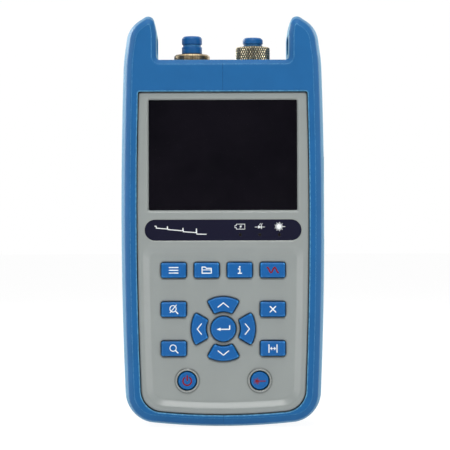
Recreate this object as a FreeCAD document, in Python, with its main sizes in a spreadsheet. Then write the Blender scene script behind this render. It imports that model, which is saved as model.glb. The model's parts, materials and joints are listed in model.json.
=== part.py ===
import FreeCAD, Part
import math
import os
import re

import Sketcher
from FreeCAD import Vector

# Handheld optical time domain reflectometer in a rubber boot, in millimetres.
# Frame: +X to the user's right, +Y from the screen to the back, +Z up.
# Origin: the middle of the foot, half way through the thickness.

SIZES = {
    # boot, outside
    "body_width": 98.1,
    "body_depth": 48.0,
    "side_bow": 2050.0,
    "side_bow_height": 101.1,
    "bottom_bow": 320.0,
    "bottom_corner": 15.0,
    "saddle_height": 175.3,
    "saddle_corner": 1.6,
    "ear_gap": 63.4,
    "ear_tip_height": 200.3,
    "ear_slope": 33.0,
    "ear_tip_radius": 3.0,
    "ear_shoulder": 13.0,
    "ear_lean": 8.0,
    "ear_lean_level": 182.7,
    "ear_lean_inset": 2.4,
    "ear_hip": 60.0,
    "ear_inner_lean": 10.0,
    "ear_inner_lean_level": 188.2,
    "ear_inner_round": 20.0,
    "round_reach": 4.8,
    "round_depth": 17.0,
    "foot_reach": 4.4,
    "foot_depth": 10.0,
    "crest_reach": 2.2,
    "crest_depth": 2.6,
    # strap slot through both ears
    "strap_slot_length": 24.0,
    "strap_slot_width": 9.0,
    "strap_slot_height": 183.4,
    # boot, inside
    "boot_wall": 3.2,
    "boot_fit": 0.15,
    "lip_thickness": 2.85,
    "lip_side": 7.8,
    "lip_foot": 5.85,
    "lip_top": 160.05,
    "lip_corner": 10.5,
    "lip_top_corner": 1.0,
    "port_hole_fit": 0.45,
    # case halves
    "case_top": 171.7,
    "case_round": 4.0,
    "case_wall": 2.6,
    "case_top_corner": 8.0,
    "weld": 0.2,
    "case_front_wall": 1.8,
    "panel_setback": 1.2,
    "panel_gap": 0.4,
    # display
    "window_width": 70.7,
    "window_height": 52.6,
    "window_level": 129.8,
    "window_bevel": 1.0,
    "window_bevel_depth": 0.8,
    "window_setback": 1.2,
    "window_thickness": 1.2,
    "window_lap": 2.0,
    "window_fit": 0.15,
    "gasket_width": 1.6,
    "lcd_width": 76.9,
    "lcd_height": 63.9,
    "lcd_thickness": 3.3,
    "lcd_drop": 2.0,
    "lcd_corner": 1.0,
    "window_corner": 0.6,
    # legend plate and its three lamps
    "legend_length": 74.8,
    "legend_width": 10.1,
    "legend_level": 94.05,
    "legend_thickness": 0.4,
    "legend_fit": 0.1,
    "lamp_radius": 0.7,
    "lamp_fit": 0.1,
    "lamp_first": 8.2,
    "lamp_pitch": 9.28,
    "lamp_level": 91.8,
    # dished keypad
    "dish_rim": 2.5,
    "dish_foot_rim": 2.6,
    "dish_top": 86.1,
    "dish_slope": 3.2,
    "dish_depth": 1.2,
    "dish_top_corner": 4.0,
    "dish_corner": 8.4,
    # keys
    "key_rise": 1.9,
    "key_gap": 0.35,
    "key_bevel": 0.5,
    "key_width": 11.8,
    "key_height": 7.0,
    "key_corner": 0.8,
    "key_column": 23.6,
    "key_top_row": 74.95,
    "key_middle_row": 56.3,
    "key_low_row": 37.6,
    "pad_level": 46.95,
    "pad_key_radius": 5.95,
    "pad_inner": 8.3,
    "pad_outer": 15.2,
    "pad_half_angle": 30.0,
    "round_key_radius": 4.35,
    "round_key_offset": 17.3,
    "round_key_level": 22.3,
    "collar_radius": 5.6,
    "collar_rise": 1.0,
    "well_key_rise": 0.6,
    "well_gap": 0.5,
    "key_lap": 0.45,
    "key_flange_thickness": 0.8,
    "key_rest_gap": 0.1,
    "key_travel": 0.7,
    "key_stem_radius": 1.5,
    # keypad mat, boards
    "mat_width": 61.0,
    "mat_foot": 15.2,
    "mat_top": 83.7,
    "mat_thickness": 2.5,
    "mat_corner": 3.0,
    "mat_hole_radius": 3.2,
    "dome_radius": 2.5,
    "dome_height": 0.5,
    "board_width": 69.0,
    "board_foot": 17.2,
    "board_top": 165.7,
    "board_thickness": 1.6,
    "board_post_radius": 2.2,
    "board_post_offset": 32.8,
    "board_post_low": 23.7,
    "board_post_middle": 90.7,
    "board_post_high": 163.1,
    "board_screw_radius": 0.8,
    "board_screw_head": 1.7,
    "board_screw_head_height": 1.2,
    "board_screw_bite": 2.4,
    "board_corner": 2.0,
    "chip_height": 2.2,
    "chip_column": 15.5,
    "chip_low_row": 39.7,
    "chip_high_row": 68.7,
    "large_chip": 18.0,
    "small_chip": 12.0,
    # case screws and seal
    "case_screw_radius": 1.4,
    "case_screw_head": 2.7,
    "case_screw_length": 26.0,
    "case_screw_head_height": 2.1,
    "case_screw_sink": 0.8,
    "case_screw_fit": 0.2,
    "case_post_radius": 3.6,
    "case_post_offset": 38.6,
    "case_post_low": 15.3,
    "case_post_high": 163.9,
    "seal_width": 1.1,
    "seal_depth": 1.2,
    "seal_fit": 0.05,
    # optics
    "port_offset": 14.8,
    "port_block_width": 46.0,
    "port_block_depth": 18.0,
    "port_block_flange": 2.0,
    "port_block_height": 7.0,
    "port_fit": 0.1,
    "port_shank_radius": 5.9,
    "port_shank_length": 12.0,
    "barrel_radius": 4.0,
    "barrel_top": 186.3,
    "sleeve_radius": 1.65,
    "sleeve_drop": 1.0,
    "ferrule_radius": 1.26,
    "flange_radius": 8.67,
    "flange_top": 179.2,
    "flange_chamfer": 0.8,
    "knurl_radius": 8.3,
    "knurl_top": 182.9,
    "knurl_chamfer": 0.9,
    "running_fit": 0.06,
    "seat_gap": 0.3,
    "cap_radius": 4.9,
    "cap_clearance": 0.3,
    "cap_top": 188.2,
    "cap_groove": 0.55,
    "cap_groove_height": 1.4,
    "cap_skirt": 3.4,
    "small_cap_skirt": 0.3,
    "cap_round": 1.1,
    "small_cap_top": 187.4,
    "module_width": 41.0,
    "module_height": 44.0,
    "module_depth": 17.0,
    "module_level": 128.7,
    "module_side": 1.0,
    "fibre_radius": 0.45,
    "source_radius": 5.4,
    "source_length": 26.0,
    # battery bay in the back
    "bay_width": 66.0,
    "bay_foot": 22.7,
    "bay_top": 92.7,
    "bay_floor": 2.0,
    "bay_floor_depth": 4.0,
    "battery_fit": 0.5,
    "battery_round": 2.5,
    "contact_space": 5.0,
    "contact_pitch": 6.0,
    "contact_width": 3.0,
    "contact_length": 6.0,
    "contact_sink": 3.0,
    "bay_corner": 1.5,
    "bay_margin": 1.0,
    "cover_width": 74.0,
    "cover_foot": 13.2,
    "cover_top": 97.7,
    "cover_thickness": 2.0,
    "cover_fit": 0.15,
    "cover_tab": 2.0,
    "cover_tab_width": 8.0,
    "cover_tab_lap": 0.5,
    "cover_tab_thickness": 1.5,
    "cover_corner": 3.0,
    "cover_screw_offset": 28.0,
    "cover_screw_level": 17.9,
    "cover_screw_radius": 1.25,
    "cover_screw_head": 2.4,
    "cover_screw_fit": 0.15,
    "cover_screw_sink": 0.1,
    "cover_screw_head_height": 1.1,
    "cover_screw_length": 9.0,
    # kickstand
    "stand_width": 64.0,
    "stand_foot": 104.7,
    "stand_axis": 157.3,
    "stand_thickness": 2.7,
    "stand_leg": 9.0,
    "stand_bar": 10.0,
    "stand_corner": 3.0,
    "stand_inner_corner": 2.0,
    "stand_notch_width": 18.0,
    "stand_notch_drop": 4.0,
    "stand_gap": 0.4,
    "stand_pin_radius": 0.8,
    "stand_pin_reach": 5.0,
    "pin_fit": 0.05,
    # side flap and the sockets behind it
    "flap_low": 89.5,
    "flap_high": 129.4,
    "flap_front": -15.0,
    "flap_axis_y": 2.0,
    "flap_axis_inset": 1.35,
    "flap_knuckle": 1.1,
    "flap_pin_radius": 0.55,
    "flap_gap": 0.3,
    "flap_skin_lap": 0.1,
    "flap_door_depth": 1.0,
    "flap_pin_reach": 2.5,
    "socket_y": -8.8,
    "jack_level": 118.7,
    "jack_bore": 3.1,
    "jack_pin": 1.0,
    "jack_size": 8.6,
    "usb_level": 100.2,
    "usb_width": 7.4,
    "usb_thickness": 3.4,
    "socket_length": 12.0,
    "socket_floor": 2.0,
    "usb_wall": 0.4,
    "usb_length": 9.0,
}

# Places worked out from the sizes above.
PLACES = {
    "half_width": "body_width / 2",
    "half_depth": "body_depth / 2",
    "panel_front": "panel_setback - half_depth",
    "flap_axis_x": "half_width - flap_axis_inset",
    "case_front": "lip_thickness + boot_fit - half_depth",
    "case_inside": "case_front + case_front_wall",
    "case_back": "-case_front",
    "back_panel": "-panel_front",
    "window_front": "panel_front + window_setback",
    "window_back": "window_front + window_thickness",
    "dish_floor": "panel_front + dish_depth",
    "key_front": "dish_floor - key_rise",
    "well_key_front": "dish_floor - well_key_rise",
    "flange_front": "case_inside + key_rest_gap",
    "flange_back": "flange_front + key_flange_thickness",
    "mat_front": "flange_back + key_travel + key_rest_gap",
    "board_front": "mat_front + mat_thickness",
    "board_back": "board_front + board_thickness",
    "dome_top": "board_front - dome_height",
    "stem_end": "dome_top - key_travel - key_rest_gap",
    "lcd_back": "case_inside + lcd_thickness",
    "cap_bore": "barrel_radius + running_fit",
    "port_hole": "flange_radius + port_hole_fit",
    "cover_front": "back_panel - cover_thickness",
    "stand_back": "back_panel - stand_gap",
    "stand_front": "stand_back - stand_thickness",
    "stand_axis_y": "stand_back - stand_thickness / 2",
    "stand_recess": "stand_front - stand_gap",
    "stand_top": "stand_axis + stand_thickness / 2",
}

document = FreeCAD.newDocument("reflectometer")
sheet = document.addObject("Spreadsheet::Sheet", "Sizes")
for row, (alias, number) in enumerate(SIZES.items(), start=1):
    sheet.set("A%d" % row, alias)
    sheet.set("B%d" % row, str(number))
    sheet.setAlias("B%d" % row, alias)
document.recompute()

pieces = []


def bound(text):
    """The expression with every size and place in it spelt out as cells of the sheet."""

    def spell(word):
        name = word.group(0)
        if name in PLACES:
            return "(" + bound(PLACES[name]) + ")"
        return "Sizes." + name if name in SIZES else name

    return re.sub(r"[a-z_]+", spell, str(text))


def value(text):
    """The number that an expression of sizes and places has now."""
    answer = sheet.evalExpression(bound(text))
    return float(getattr(answer, "Value", answer))


# ---------------------------------------------------------------- profiles


class Line:
    """A straight side through a point, walked along a heading in degrees, material on the left."""

    def __init__(self, x, y, heading):
        self.x, self.y, self.heading = str(x), str(y), str(heading)
        self.point = value(x), value(y)
        angle = math.radians(value(heading))
        self.normal = -math.sin(angle), math.cos(angle)

    def left(self, x, y):
        """How far a point lies to the left of the side."""
        return (x - self.point[0]) * self.normal[0] + (y - self.point[1]) * self.normal[1]

    def slope(self, x, y):
        """The direction in which left() grows."""
        return self.normal


class Bow:
    """A side along a circle, with the material inside the circle, or outside it if hollow."""

    def __init__(self, x, y, radius, hollow=False):
        self.x, self.y, self.radius, self.hollow = str(x), str(y), str(radius), hollow
        self.centre, self.size = (value(x), value(y)), value(radius)
        self.sign = 1 if hollow else -1

    def left(self, x, y):
        return self.sign * (math.dist(self.centre, (x, y)) - self.size)

    def slope(self, x, y):
        reach = math.dist(self.centre, (x, y))
        return self.sign * (x - self.centre[0]) / reach, self.sign * (y - self.centre[1]) / reach


def settle(first, second, want, start):
    """The point near start that lies want to the left of both sides, by Newton's steps."""
    x, y = start
    for _ in range(30):
        (a, b), (c, d) = first.slope(x, y), second.slope(x, y)
        miss_one, miss_two = want - first.left(x, y), want - second.left(x, y)
        det = a * d - b * c
        x, y = x + (miss_one * d - b * miss_two) / det, y + (a * miss_two - miss_one * c) / det
    return x, y


def corner(first, second, radius, near):
    """Where two sides meet: the end of the first, the start of the second, and the round between."""
    tip = settle(first, second, 0, near)
    if not radius:
        return tip, tip, None
    (a, b), (c, d) = first.slope(*tip), second.slope(*tip)
    turn = 1 if a * d > b * c else -1
    centre = settle(first, second, turn * radius, tip)
    feet = []
    for side in (first, second):
        nx, ny = side.slope(*centre)
        feet.append((centre[0] - turn * radius * nx, centre[1] - turn * radius * ny))
    return feet[0], feet[1], (centre, turn)


def arc(centre, start, end, turn):
    """The arc from start to end about centre: anticlockwise if turn is 1, clockwise if it is -1."""
    angles = [math.atan2(p[1] - centre[1], p[0] - centre[0]) for p in (start, end)]
    if turn < 0:
        angles.reverse()
    if angles[1] < angles[0]:
        angles[1] += 2 * math.pi
    circle = Part.Circle(Vector(*centre, 0), Vector(0, 0, 1), math.dist(centre, start))
    return Part.ArcOfCircle(circle, *angles)


class Rules:
    """The constraints of one profile, added to its sketch all at once."""

    def __init__(self, sketch):
        self.sketch = sketch
        self.rules = []
        self.texts = {}

    def __enter__(self):
        return self

    def __exit__(self, *_):
        first = self.sketch.ConstraintCount
        self.sketch.addConstraint(self.rules)
        for place, text in self.texts.items():
            self.sketch.setExpression("Constraints[%d]" % (first + place), bound(text))

    def tie(self, kind, *where):
        """A constraint with no number."""
        self.rules.append(Sketcher.Constraint(kind, *where))

    def hold(self, kind, *where, text):
        """A constraint whose number follows an expression."""
        number = value(text)
        if kind == "Angle":
            number = math.radians(number)
            text = "(%s) * 1 deg" % text
        self.texts[len(self.rules)] = text
        self.rules.append(Sketcher.Constraint(kind, *where, number))


def outline(sketch, *walk):
    """A closed profile walked anticlockwise: (side, round after it, a point near that corner), ..."""
    corners = []
    for place, (side, radius, near) in enumerate(walk):
        following = walk[(place + 1) % len(walk)][0]
        corners.append(corner(side, following, value(radius), near))
    runs = []
    for place, (side, radius, _) in enumerate(walk):
        start, (end, next_start, round_off) = corners[place - 1][1], corners[place]
        if isinstance(side, Line):
            edge, turn = Part.LineSegment(Vector(*start, 0), Vector(*end, 0)), 1
        else:
            turn = -1 if side.hollow else 1
            edge = arc(side.centre, start, end, turn)
        ends = (1, 2) if turn > 0 else (2, 1)
        runs.append((sketch.addGeometry(edge, False), ends, side))
        if round_off:
            centre, turn = round_off
            ends = (1, 2) if turn > 0 else (2, 1)
            runs.append((sketch.addGeometry(arc(centre, end, next_start, turn), False), ends, radius))
    with Rules(sketch) as rules:
        for (one, one_ends, what), (two, two_ends, other) in zip(runs, runs[1:] + runs[:1]):
            smooth = isinstance(what, str) or isinstance(other, str)
            rules.tie("Tangent" if smooth else "Coincident", one, one_ends[1], two, two_ends[0])
        for run, _, what in runs:
            if isinstance(what, str):
                rules.hold("Radius", run, text=what)
            elif isinstance(what, Bow):
                rules.hold("Radius", run, text=what.radius)
                rules.hold("DistanceX", -1, 1, run, 3, text=what.x)
                rules.hold("DistanceY", -1, 1, run, 3, text=what.y)
            elif value(what.heading) % 180 == 0:
                rules.tie("Horizontal", run)
                rules.hold("DistanceY", -1, 1, run, 1, text=what.y)
            elif value(what.heading) % 90 == 0:
                rules.tie("Vertical", run)
                rules.hold("DistanceX", -1, 1, run, 1, text=what.x)
            else:
                mark = sketch.addGeometry(Part.Point(Vector(*what.point, 0)), True)
                rules.hold("DistanceX", -1, 1, mark, 1, text=what.x)
                rules.hold("DistanceY", -1, 1, mark, 1, text=what.y)
                rules.tie("PointOnObject", mark, 1, run)
                rules.hold("Angle", run, text=what.heading)


def polygon(sketch, *points):
    """A closed profile of straight sides through points given as pairs of expressions."""
    numbers = [Vector(value(x), value(y), 0) for x, y in points]
    edges = [
        sketch.addGeometry(Part.LineSegment(numbers[place - 1], numbers[place]), False)
        for place in range(len(points))
    ]
    with Rules(sketch) as rules:
        for place, (x, y) in enumerate(points):
            following = edges[(place + 1) % len(edges)]
            rules.tie("Coincident", edges[place], 2, following, 1)
            rules.hold("DistanceX", -1, 1, edges[place], 2, text=x)
            rules.hold("DistanceY", -1, 1, edges[place], 2, text=y)


def box(sketch, low_x, high_x, low_y, high_y, radius="0"):
    """A rectangle between four expressions, with rounded corners if radius isn't 0."""
    near = (0, 0)
    outline(
        sketch,
        (Line("0", low_y, 0), radius, near),
        (Line(high_x, "0", 90), radius, near),
        (Line("0", high_y, 180), radius, near),
        (Line(low_x, "0", -90), radius, near),
    )


def disc(sketch, x, y, radius):
    """A circle."""
    circle = Part.Circle(Vector(value(x), value(y), 0), Vector(0, 0, 1), value(radius))
    run = sketch.addGeometry(circle, False)
    with Rules(sketch) as rules:
        rules.hold("Radius", run, text=radius)
        rules.hold("DistanceX", -1, 1, run, 3, text=x)
        rules.hold("DistanceY", -1, 1, run, 3, text=y)


def shield(sketch, side, foot, top, low_corner, top_corner):
    """The tapering outline of the case, set in from the boot's sides and foot, with a flat top."""
    width, level = value("half_width") - value(side), value(top)
    outline(
        sketch,
        (Bow("0", "bottom_bow", "bottom_bow - (%s)" % foot), low_corner, (width, value(foot))),
        (flank(1, side), top_corner, (width, level)),
        (Line("0", top, 180), top_corner, (-width, level)),
        (flank(-1, side), low_corner, (-width, value(foot))),
    )


def flank(hand, inset):
    """The long bowed side of the boot on the right (1) or the left (-1), set in by inset."""
    centre = "half_width - side_bow" if hand > 0 else "side_bow - half_width"
    return Bow(centre, "side_bow_height", "side_bow - (%s)" % inset)


# ---------------------------------------------------------------- pieces

# The origin plane of each sketch, and which way its normal points along the row's axis.
PLANES = {"front": ("XZ_Plane", -1), "top": ("XY_Plane", 1), "side": ("YZ_Plane", 1)}


class Piece:
    """One sub-part: a body whose sketches lie at given depths on its own origin planes."""

    def __init__(self, name):
        self.body = document.addObject("PartDesign::Body", name)
        self.body.Label = name
        pieces.append(self.body)

    def sketch(self, plane, place, aside="0"):
        """A sketch across Y (front), Z (top) or X (side) at place, its own origin moved aside."""
        role, normal = PLANES[plane]
        sketch = self.body.newObject("Sketcher::SketchObject", plane)
        support = [item for item in self.body.Origin.OriginFeatures if item.Role == role][0]
        sketch.AttachmentSupport = [(support, "")]
        sketch.MapMode = "FlatFace"
        sketch.setExpression("AttachmentOffset.Base.z", bound("%d * (%s)" % (normal, place)))
        sketch.setExpression("AttachmentOffset.Base.x", bound(aside))
        sketch.addProperty("App::PropertyInteger", "Normal")
        sketch.Normal = normal
        return sketch

    def grow(self, sketch, length, toward):
        """Adds the profile over a length, towards +1 or -1 along the row's axis."""
        pad = self.body.newObject("PartDesign::Pad", "pad")
        pad.Profile = sketch
        pad.setExpression("Length", bound(length))
        pad.Reversed = toward != sketch.Normal
        self.keep(pad)

    def cut(self, sketch, length, toward):
        """Takes the profile away over a length, and makes sure that something went."""
        before = self.body.Tip.Shape.Volume
        pocket = self.body.newObject("PartDesign::Pocket", "pocket")
        pocket.Profile = sketch
        pocket.setExpression("Length", bound(length))
        pocket.Reversed = toward == sketch.Normal
        self.keep(pocket)
        if pocket.Shape.Volume > before - 1e-3:
            raise RuntimeError("a pocket in %s cut nothing" % self.body.Label)

    def loft(self, sketches, take=False):
        """Joins profiles of the same sides with flat strips, added to the piece or taken from it."""
        kind = "PartDesign::SubtractiveLoft" if take else "PartDesign::AdditiveLoft"
        loft = self.body.newObject(kind, "loft")
        loft.Profile = sketches[0]
        loft.Sections = sketches[1:]
        loft.Ruled = True
        self.keep(loft)

    def turn(self, sketch, take=False):
        """Revolves a profile about its own upright axis."""
        kind = "PartDesign::Groove" if take else "PartDesign::Revolution"
        revolution = self.body.newObject(kind, "revolution")
        revolution.Profile = sketch
        revolution.ReferenceAxis = (sketch, ["V_Axis"])
        revolution.Angle = 360
        self.keep(revolution)

    def bevel(self, size, chosen, kind="Chamfer"):
        """Breaks the edges of the faces that chosen() picks."""
        base = self.body.Tip
        shape = base.Shape
        edges = [edge for face in shape.Faces if chosen(face) for edge in face.OuterWire.Edges]
        names = [
            "Edge%d" % place
            for place, edge in enumerate(shape.Edges, start=1)
            if any(edge.isSame(other) for other in edges)
        ]
        feature = self.body.newObject("PartDesign::" + kind, kind.lower())
        feature.Base = (base, names)
        feature.setExpression("Size" if kind == "Chamfer" else "Radius", bound(size))
        self.keep(feature)

    def keep(self, feature):
        self.body.Tip = feature
        document.recompute()
        if feature.Shape.isNull() or "Invalid" in feature.State:
            raise RuntimeError("%s of %s failed" % (feature.Name, self.body.Label))


def faces_at(axis, place):
    """Picks the flat faces that lie at one place along an axis (0, 1 or 2)."""

    def chosen(face):
        low = (face.BoundBox.XMin, face.BoundBox.YMin, face.BoundBox.ZMin)[axis]
        high = (face.BoundBox.XMax, face.BoundBox.YMax, face.BoundBox.ZMax)[axis]
        return abs(low - value(place)) < 1e-4 and abs(high - value(place)) < 1e-4

    return chosen


def plate(name, plane, place, length, toward, *profiles):
    """A piece padded from one sketch that holds several profiles, each (function, arguments)."""
    piece = Piece(name)
    sketch = piece.sketch(plane, place)
    for draw, *arguments in profiles:
        draw(sketch, *arguments)
    piece.grow(sketch, length, toward)
    return piece


# ---------------------------------------------------------------- boot


def past(depth, deep):
    """How much of an edge's depth is passed at a depth from the boot's middle plane, from 0 to 1."""
    return "(max(0; (%s) - half_depth + %s) / %s)" % (depth, deep, deep)


def quarter_round(depth, reach, deep):
    """How far an elliptical round sets the outline in at a depth."""
    share = past(depth, deep)
    return "%s * (1 - sqrt(max(0; 1 - %s * %s)))" % (reach, share, share)


def slant(depth, reach, deep):
    """How far a flat slope sets the outline in at a depth."""
    return "%s * %s" % (reach, past(depth, deep))


def boot_outline(sketch, side, foot, crest):
    """The boot from the front: bowed foot and sides, two sloping ears and the saddle between."""
    wide, inner = value("half_width"), value("ear_gap / 2")
    saddle, tip, hip = value("saddle_height"), value("ear_tip_height"), value("ear_lean_level")
    low, waist = "bottom_corner - (%s)" % side, "ear_hip - (%s)" % side
    shoulder, point = "ear_shoulder - (%s)" % side, "ear_tip_radius - (%s)" % crest
    cheek, valley = "ear_inner_round + (%s)" % crest, "saddle_corner + (%s)" % crest
    outer = "(half_width - ear_lean_inset - (%s) / cos(ear_lean * 1 deg))" % side
    slope = "ear_tip_height - (%s) / cos(ear_slope * 1 deg)" % side
    wall = "(ear_gap / 2 + (%s))" % crest
    splay = "(ear_gap / 2 + (%s) / cos(ear_inner_lean * 1 deg))" % crest
    outline(
        sketch,
        (Bow("0", "bottom_bow", "bottom_bow - (%s)" % foot), low, (wide, 0)),
        (flank(1, side), waist, (wide, hip)),
        (Line(outer, "ear_lean_level", "90 + ear_lean"), shoulder, (wide, tip)),
        (Line("ear_gap / 2", slope, "180 - ear_slope"), point, (inner, tip)),
        (Line(splay, "ear_inner_lean_level", "-90 - ear_inner_lean"), cheek, (inner, hip)),
        (Line(wall, "0", "-90"), valley, (inner, saddle)),
        (Line("0", "saddle_height - (%s)" % crest, "180"), valley, (-inner, saddle)),
        (Line("-" + wall, "0", "90"), cheek, (-inner, hip)),
        (Line("-" + splay, "ear_inner_lean_level", "90 + ear_inner_lean"), point, (-inner, tip)),
        (Line("-ear_gap / 2", slope, "180 + ear_slope"), shoulder, (-wide, tip)),
        (Line("-" + outer, "ear_lean_level", "-90 - ear_lean"), waist, (-wide, hip)),
        (flank(-1, side), low, (-wide, 0)),
    )


def boot_levels(piece, hand, angles):
    """Sections of the boot from its middle to its front (hand -1) or back (hand 1).

    They lie at angles of the sides' round, and where the crest's slope starts and ends.
    """
    depths = ["(half_depth - round_depth * (1 - sin(%s * 1 deg)))" % angle for angle in angles]
    sections = []
    for depth in depths + ["(half_depth - crest_depth)", "half_depth"]:
        sketch = piece.sketch("front", "%d * %s" % (hand, depth))
        boot_outline(
            sketch,
            quarter_round(depth, "round_reach", "round_depth"),
            quarter_round(depth, "foot_reach", "foot_depth"),
            slant(depth, "crest_reach", "crest_depth"),
        )
        sections.append(sketch)
    return sections


def boot_body(name):
    """The boot's outside as a solid block."""
    piece = Piece(name)
    front = boot_levels(piece, -1, (0, 20, 38))
    piece.loft(front)
    piece.grow(front[0], "2 * (half_depth - round_depth)", 1)
    piece.loft(boot_levels(piece, 1, (0, 30)))
    return piece


def case_levels(piece, hand, fit, angles=(0, 45, 90)):
    """Sections of one rounded edge of the case, the last on its face; fit makes them larger."""
    sections = []
    for angle in angles:
        depth = "(case_back + (%s) - case_round * (1 - sin(%s * 1 deg)))" % (fit, angle)
        inset = "(boot_wall - (%s) + case_round * (1 - cos(%s * 1 deg)))" % (fit, angle)
        sketch = piece.sketch("front", "%d * %s" % (hand, depth))
        low = "bottom_corner - " + inset
        shield(sketch, inset, inset, "case_top + boot_wall - " + inset, low, "case_top_corner")
        sections.append(sketch)
    return sections


def lip_opening(sketch, gap):
    """The opening in the boot's lip, made smaller by gap for the panel that fills it."""
    shield(
        sketch,
        "lip_side + " + gap,
        "lip_foot + " + gap,
        "lip_top - " + gap,
        "lip_corner",
        "lip_top_corner",
    )


def make_boot():
    boot = boot_body("boot")
    for hand in (-1, 1):
        cavity = case_levels(boot, hand, "boot_fit")
        boot.loft(cavity, take=True)
        if hand < 0:
            boot.cut(cavity[0], "2 * (case_back + boot_fit - case_round)", 1)
        opening = boot.sketch("front", "%d * half_depth" % hand)
        lip_opening(opening, "0")
        boot.cut(opening, "lip_thickness + case_round", -hand)
    ports = boot.sketch("top", "saddle_height")
    for hand in (-1, 1):
        disc(ports, "%d * port_offset" % hand, "0", "port_hole")
    boot.cut(ports, "saddle_height - case_top", -1)
    slot = boot.sketch("side", "half_width")
    box(
        slot,
        "-strap_slot_length / 2",
        "strap_slot_length / 2",
        "strap_slot_height - strap_slot_width / 2",
        "strap_slot_height + strap_slot_width / 2",
        "strap_slot_width * 0.499",
    )
    boot.cut(slot, "body_width", -1)
    door = boot.sketch("side", "half_width")
    rear = "flap_axis_y + flap_knuckle + flap_gap + running_fit"
    box(door, "flap_front", rear, "flap_low", "flap_high", "flap_knuckle")
    boot.cut(door, "boot_wall + flap_door_depth", -1)
    pin = boot.sketch("top", "flap_low - flap_pin_reach - pin_fit")
    disc(pin, "flap_axis_x", "flap_axis_y", "flap_pin_radius + pin_fit")
    boot.cut(pin, "flap_high - flap_low + 2 * flap_pin_reach + 2 * pin_fit", 1)
    return boot


# ---------------------------------------------------------------- keys


def oblong(x, y):
    """The outline of a rectangular key."""

    def draw(sketch, more):
        half_wide, half_high = "(key_width / 2 + (%s))" % more, "(key_height / 2 + (%s))" % more
        box(
            sketch,
            "%s - %s" % (x, half_wide),
            "%s + %s" % (x, half_wide),
            "%s - %s" % (y, half_high),
            "%s + %s" % (y, half_high),
            "key_corner + (%s)" % more,
        )

    return draw


def round_key(x, y, radius):
    """The outline of a round key."""

    def draw(sketch, more):
        disc(sketch, x, y, "%s + (%s)" % (radius, more))

    return draw


def sector(middle):
    """The outline of an arrow key: a piece of a ring about the pad's centre, facing middle degrees."""

    def draw(sketch, more):
        def ray(turn, heading):
            way = "(%s + (%s)) * 1 deg" % (middle, turn)
            x = "(%s) * cos(%s)" % (more, way)
            y = "pad_level + (%s) * sin(%s)" % (more, way)
            return Line(x, y, "%s + (%s)" % (middle, heading))

        def near(radius, turn):
            angle = math.radians(middle + turn * value("pad_half_angle"))
            reach = value(radius)
            return reach * math.cos(angle), value("pad_level") + reach * math.sin(angle)

        radius = "key_corner + (%s)" % more
        outline(
            sketch,
            (Bow("0", "pad_level", "pad_outer + (%s)" % more), radius, near("pad_outer", 1)),
            (ray("pad_half_angle + 90", "pad_half_angle + 180"), radius, near("pad_inner", 1)),
            (Bow("0", "pad_level", "pad_inner - (%s)" % more, hollow=True), radius, near("pad_inner", -1)),
            (ray("-pad_half_angle - 90", "-pad_half_angle"), radius, near("pad_outer", -1)),
        )

    return draw


# Each key: its name, the drawing of its outline and the middle of its stem.
KEYS = {
    "key_menu": (oblong("-key_column", "key_top_row"), "-key_column", "key_top_row"),
    "key_file": (oblong("-key_column / 3", "key_top_row"), "-key_column / 3", "key_top_row"),
    "key_info": (oblong("key_column / 3", "key_top_row"), "key_column / 3", "key_top_row"),
    "key_light_source": (oblong("key_column", "key_top_row"), "key_column", "key_top_row"),
    "key_zoom_reset": (oblong("-key_column", "key_middle_row"), "-key_column", "key_middle_row"),
    "key_escape": (oblong("key_column", "key_middle_row"), "key_column", "key_middle_row"),
    "key_zoom": (oblong("-key_column", "key_low_row"), "-key_column", "key_low_row"),
    "key_markers": (oblong("key_column", "key_low_row"), "key_column", "key_low_row"),
    "key_right": (sector(0), "(pad_inner + pad_outer) / 2", "pad_level"),
    "key_up": (sector(90), "0", "pad_level + (pad_inner + pad_outer) / 2"),
    "key_left": (sector(180), "-(pad_inner + pad_outer) / 2", "pad_level"),
    "key_down": (sector(270), "0", "pad_level - (pad_inner + pad_outer) / 2"),
    "key_enter": (round_key("0", "pad_level", "pad_key_radius"), "0", "pad_level"),
    "key_power": (
        round_key("-round_key_offset", "round_key_level", "round_key_radius"),
        "-round_key_offset",
        "round_key_level",
    ),
    "key_laser": (
        round_key("round_key_offset", "round_key_level", "round_key_radius"),
        "round_key_offset",
        "round_key_level",
    ),
}


# Keys that sit lower, in a well inside a raised collar.
WELL_KEYS = ("key_power", "key_laser")


def key_seat(name):
    """The depth of a key's face and the gap around it."""
    return ("well_key_front", "well_gap") if name in WELL_KEYS else ("key_front", "key_gap")


def make_key(name, draw, x, y):
    """A hard cap through the panel, a flange that holds it in, and a stem over its switch."""
    face, gap = key_seat(name)
    key = Piece(name)
    cap = key.sketch("front", face)
    draw(cap, "0")
    key.grow(cap, "flange_front - " + face, 1)
    flange = key.sketch("front", "flange_front")
    draw(flange, gap + " + key_lap")
    key.grow(flange, "key_flange_thickness", 1)
    stem = key.sketch("front", "flange_back")
    disc(stem, x, y, "key_stem_radius")
    key.grow(stem, "stem_end - flange_back", 1)
    key.bevel("key_bevel", faces_at(1, face))


def make_keypad():
    for name, (draw, x, y) in KEYS.items():
        make_key(name, draw, x, y)
    stems = [(x, y) for _, x, y in KEYS.values()]
    plate(
        "keypad_mat", "front", "mat_front", "mat_thickness", 1,
        (box, "-mat_width / 2", "mat_width / 2", "mat_foot", "mat_top", "mat_corner"),
        *[(disc, x, y, "mat_hole_radius") for x, y in stems],
    )
    plate(
        "dome_switches", "front", "board_front", "dome_height", -1,
        *[(disc, x, y, "dome_radius") for x, y in stems],
    )


# ---------------------------------------------------------------- case halves

CASE_POSTS = [(side, level) for side in (-1, 1) for level in ("case_post_low", "case_post_high")]
BOARD_POSTS = [
    (side, level)
    for side in (-1, 1)
    for level in ("board_post_low", "board_post_middle", "board_post_high")
]


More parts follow.
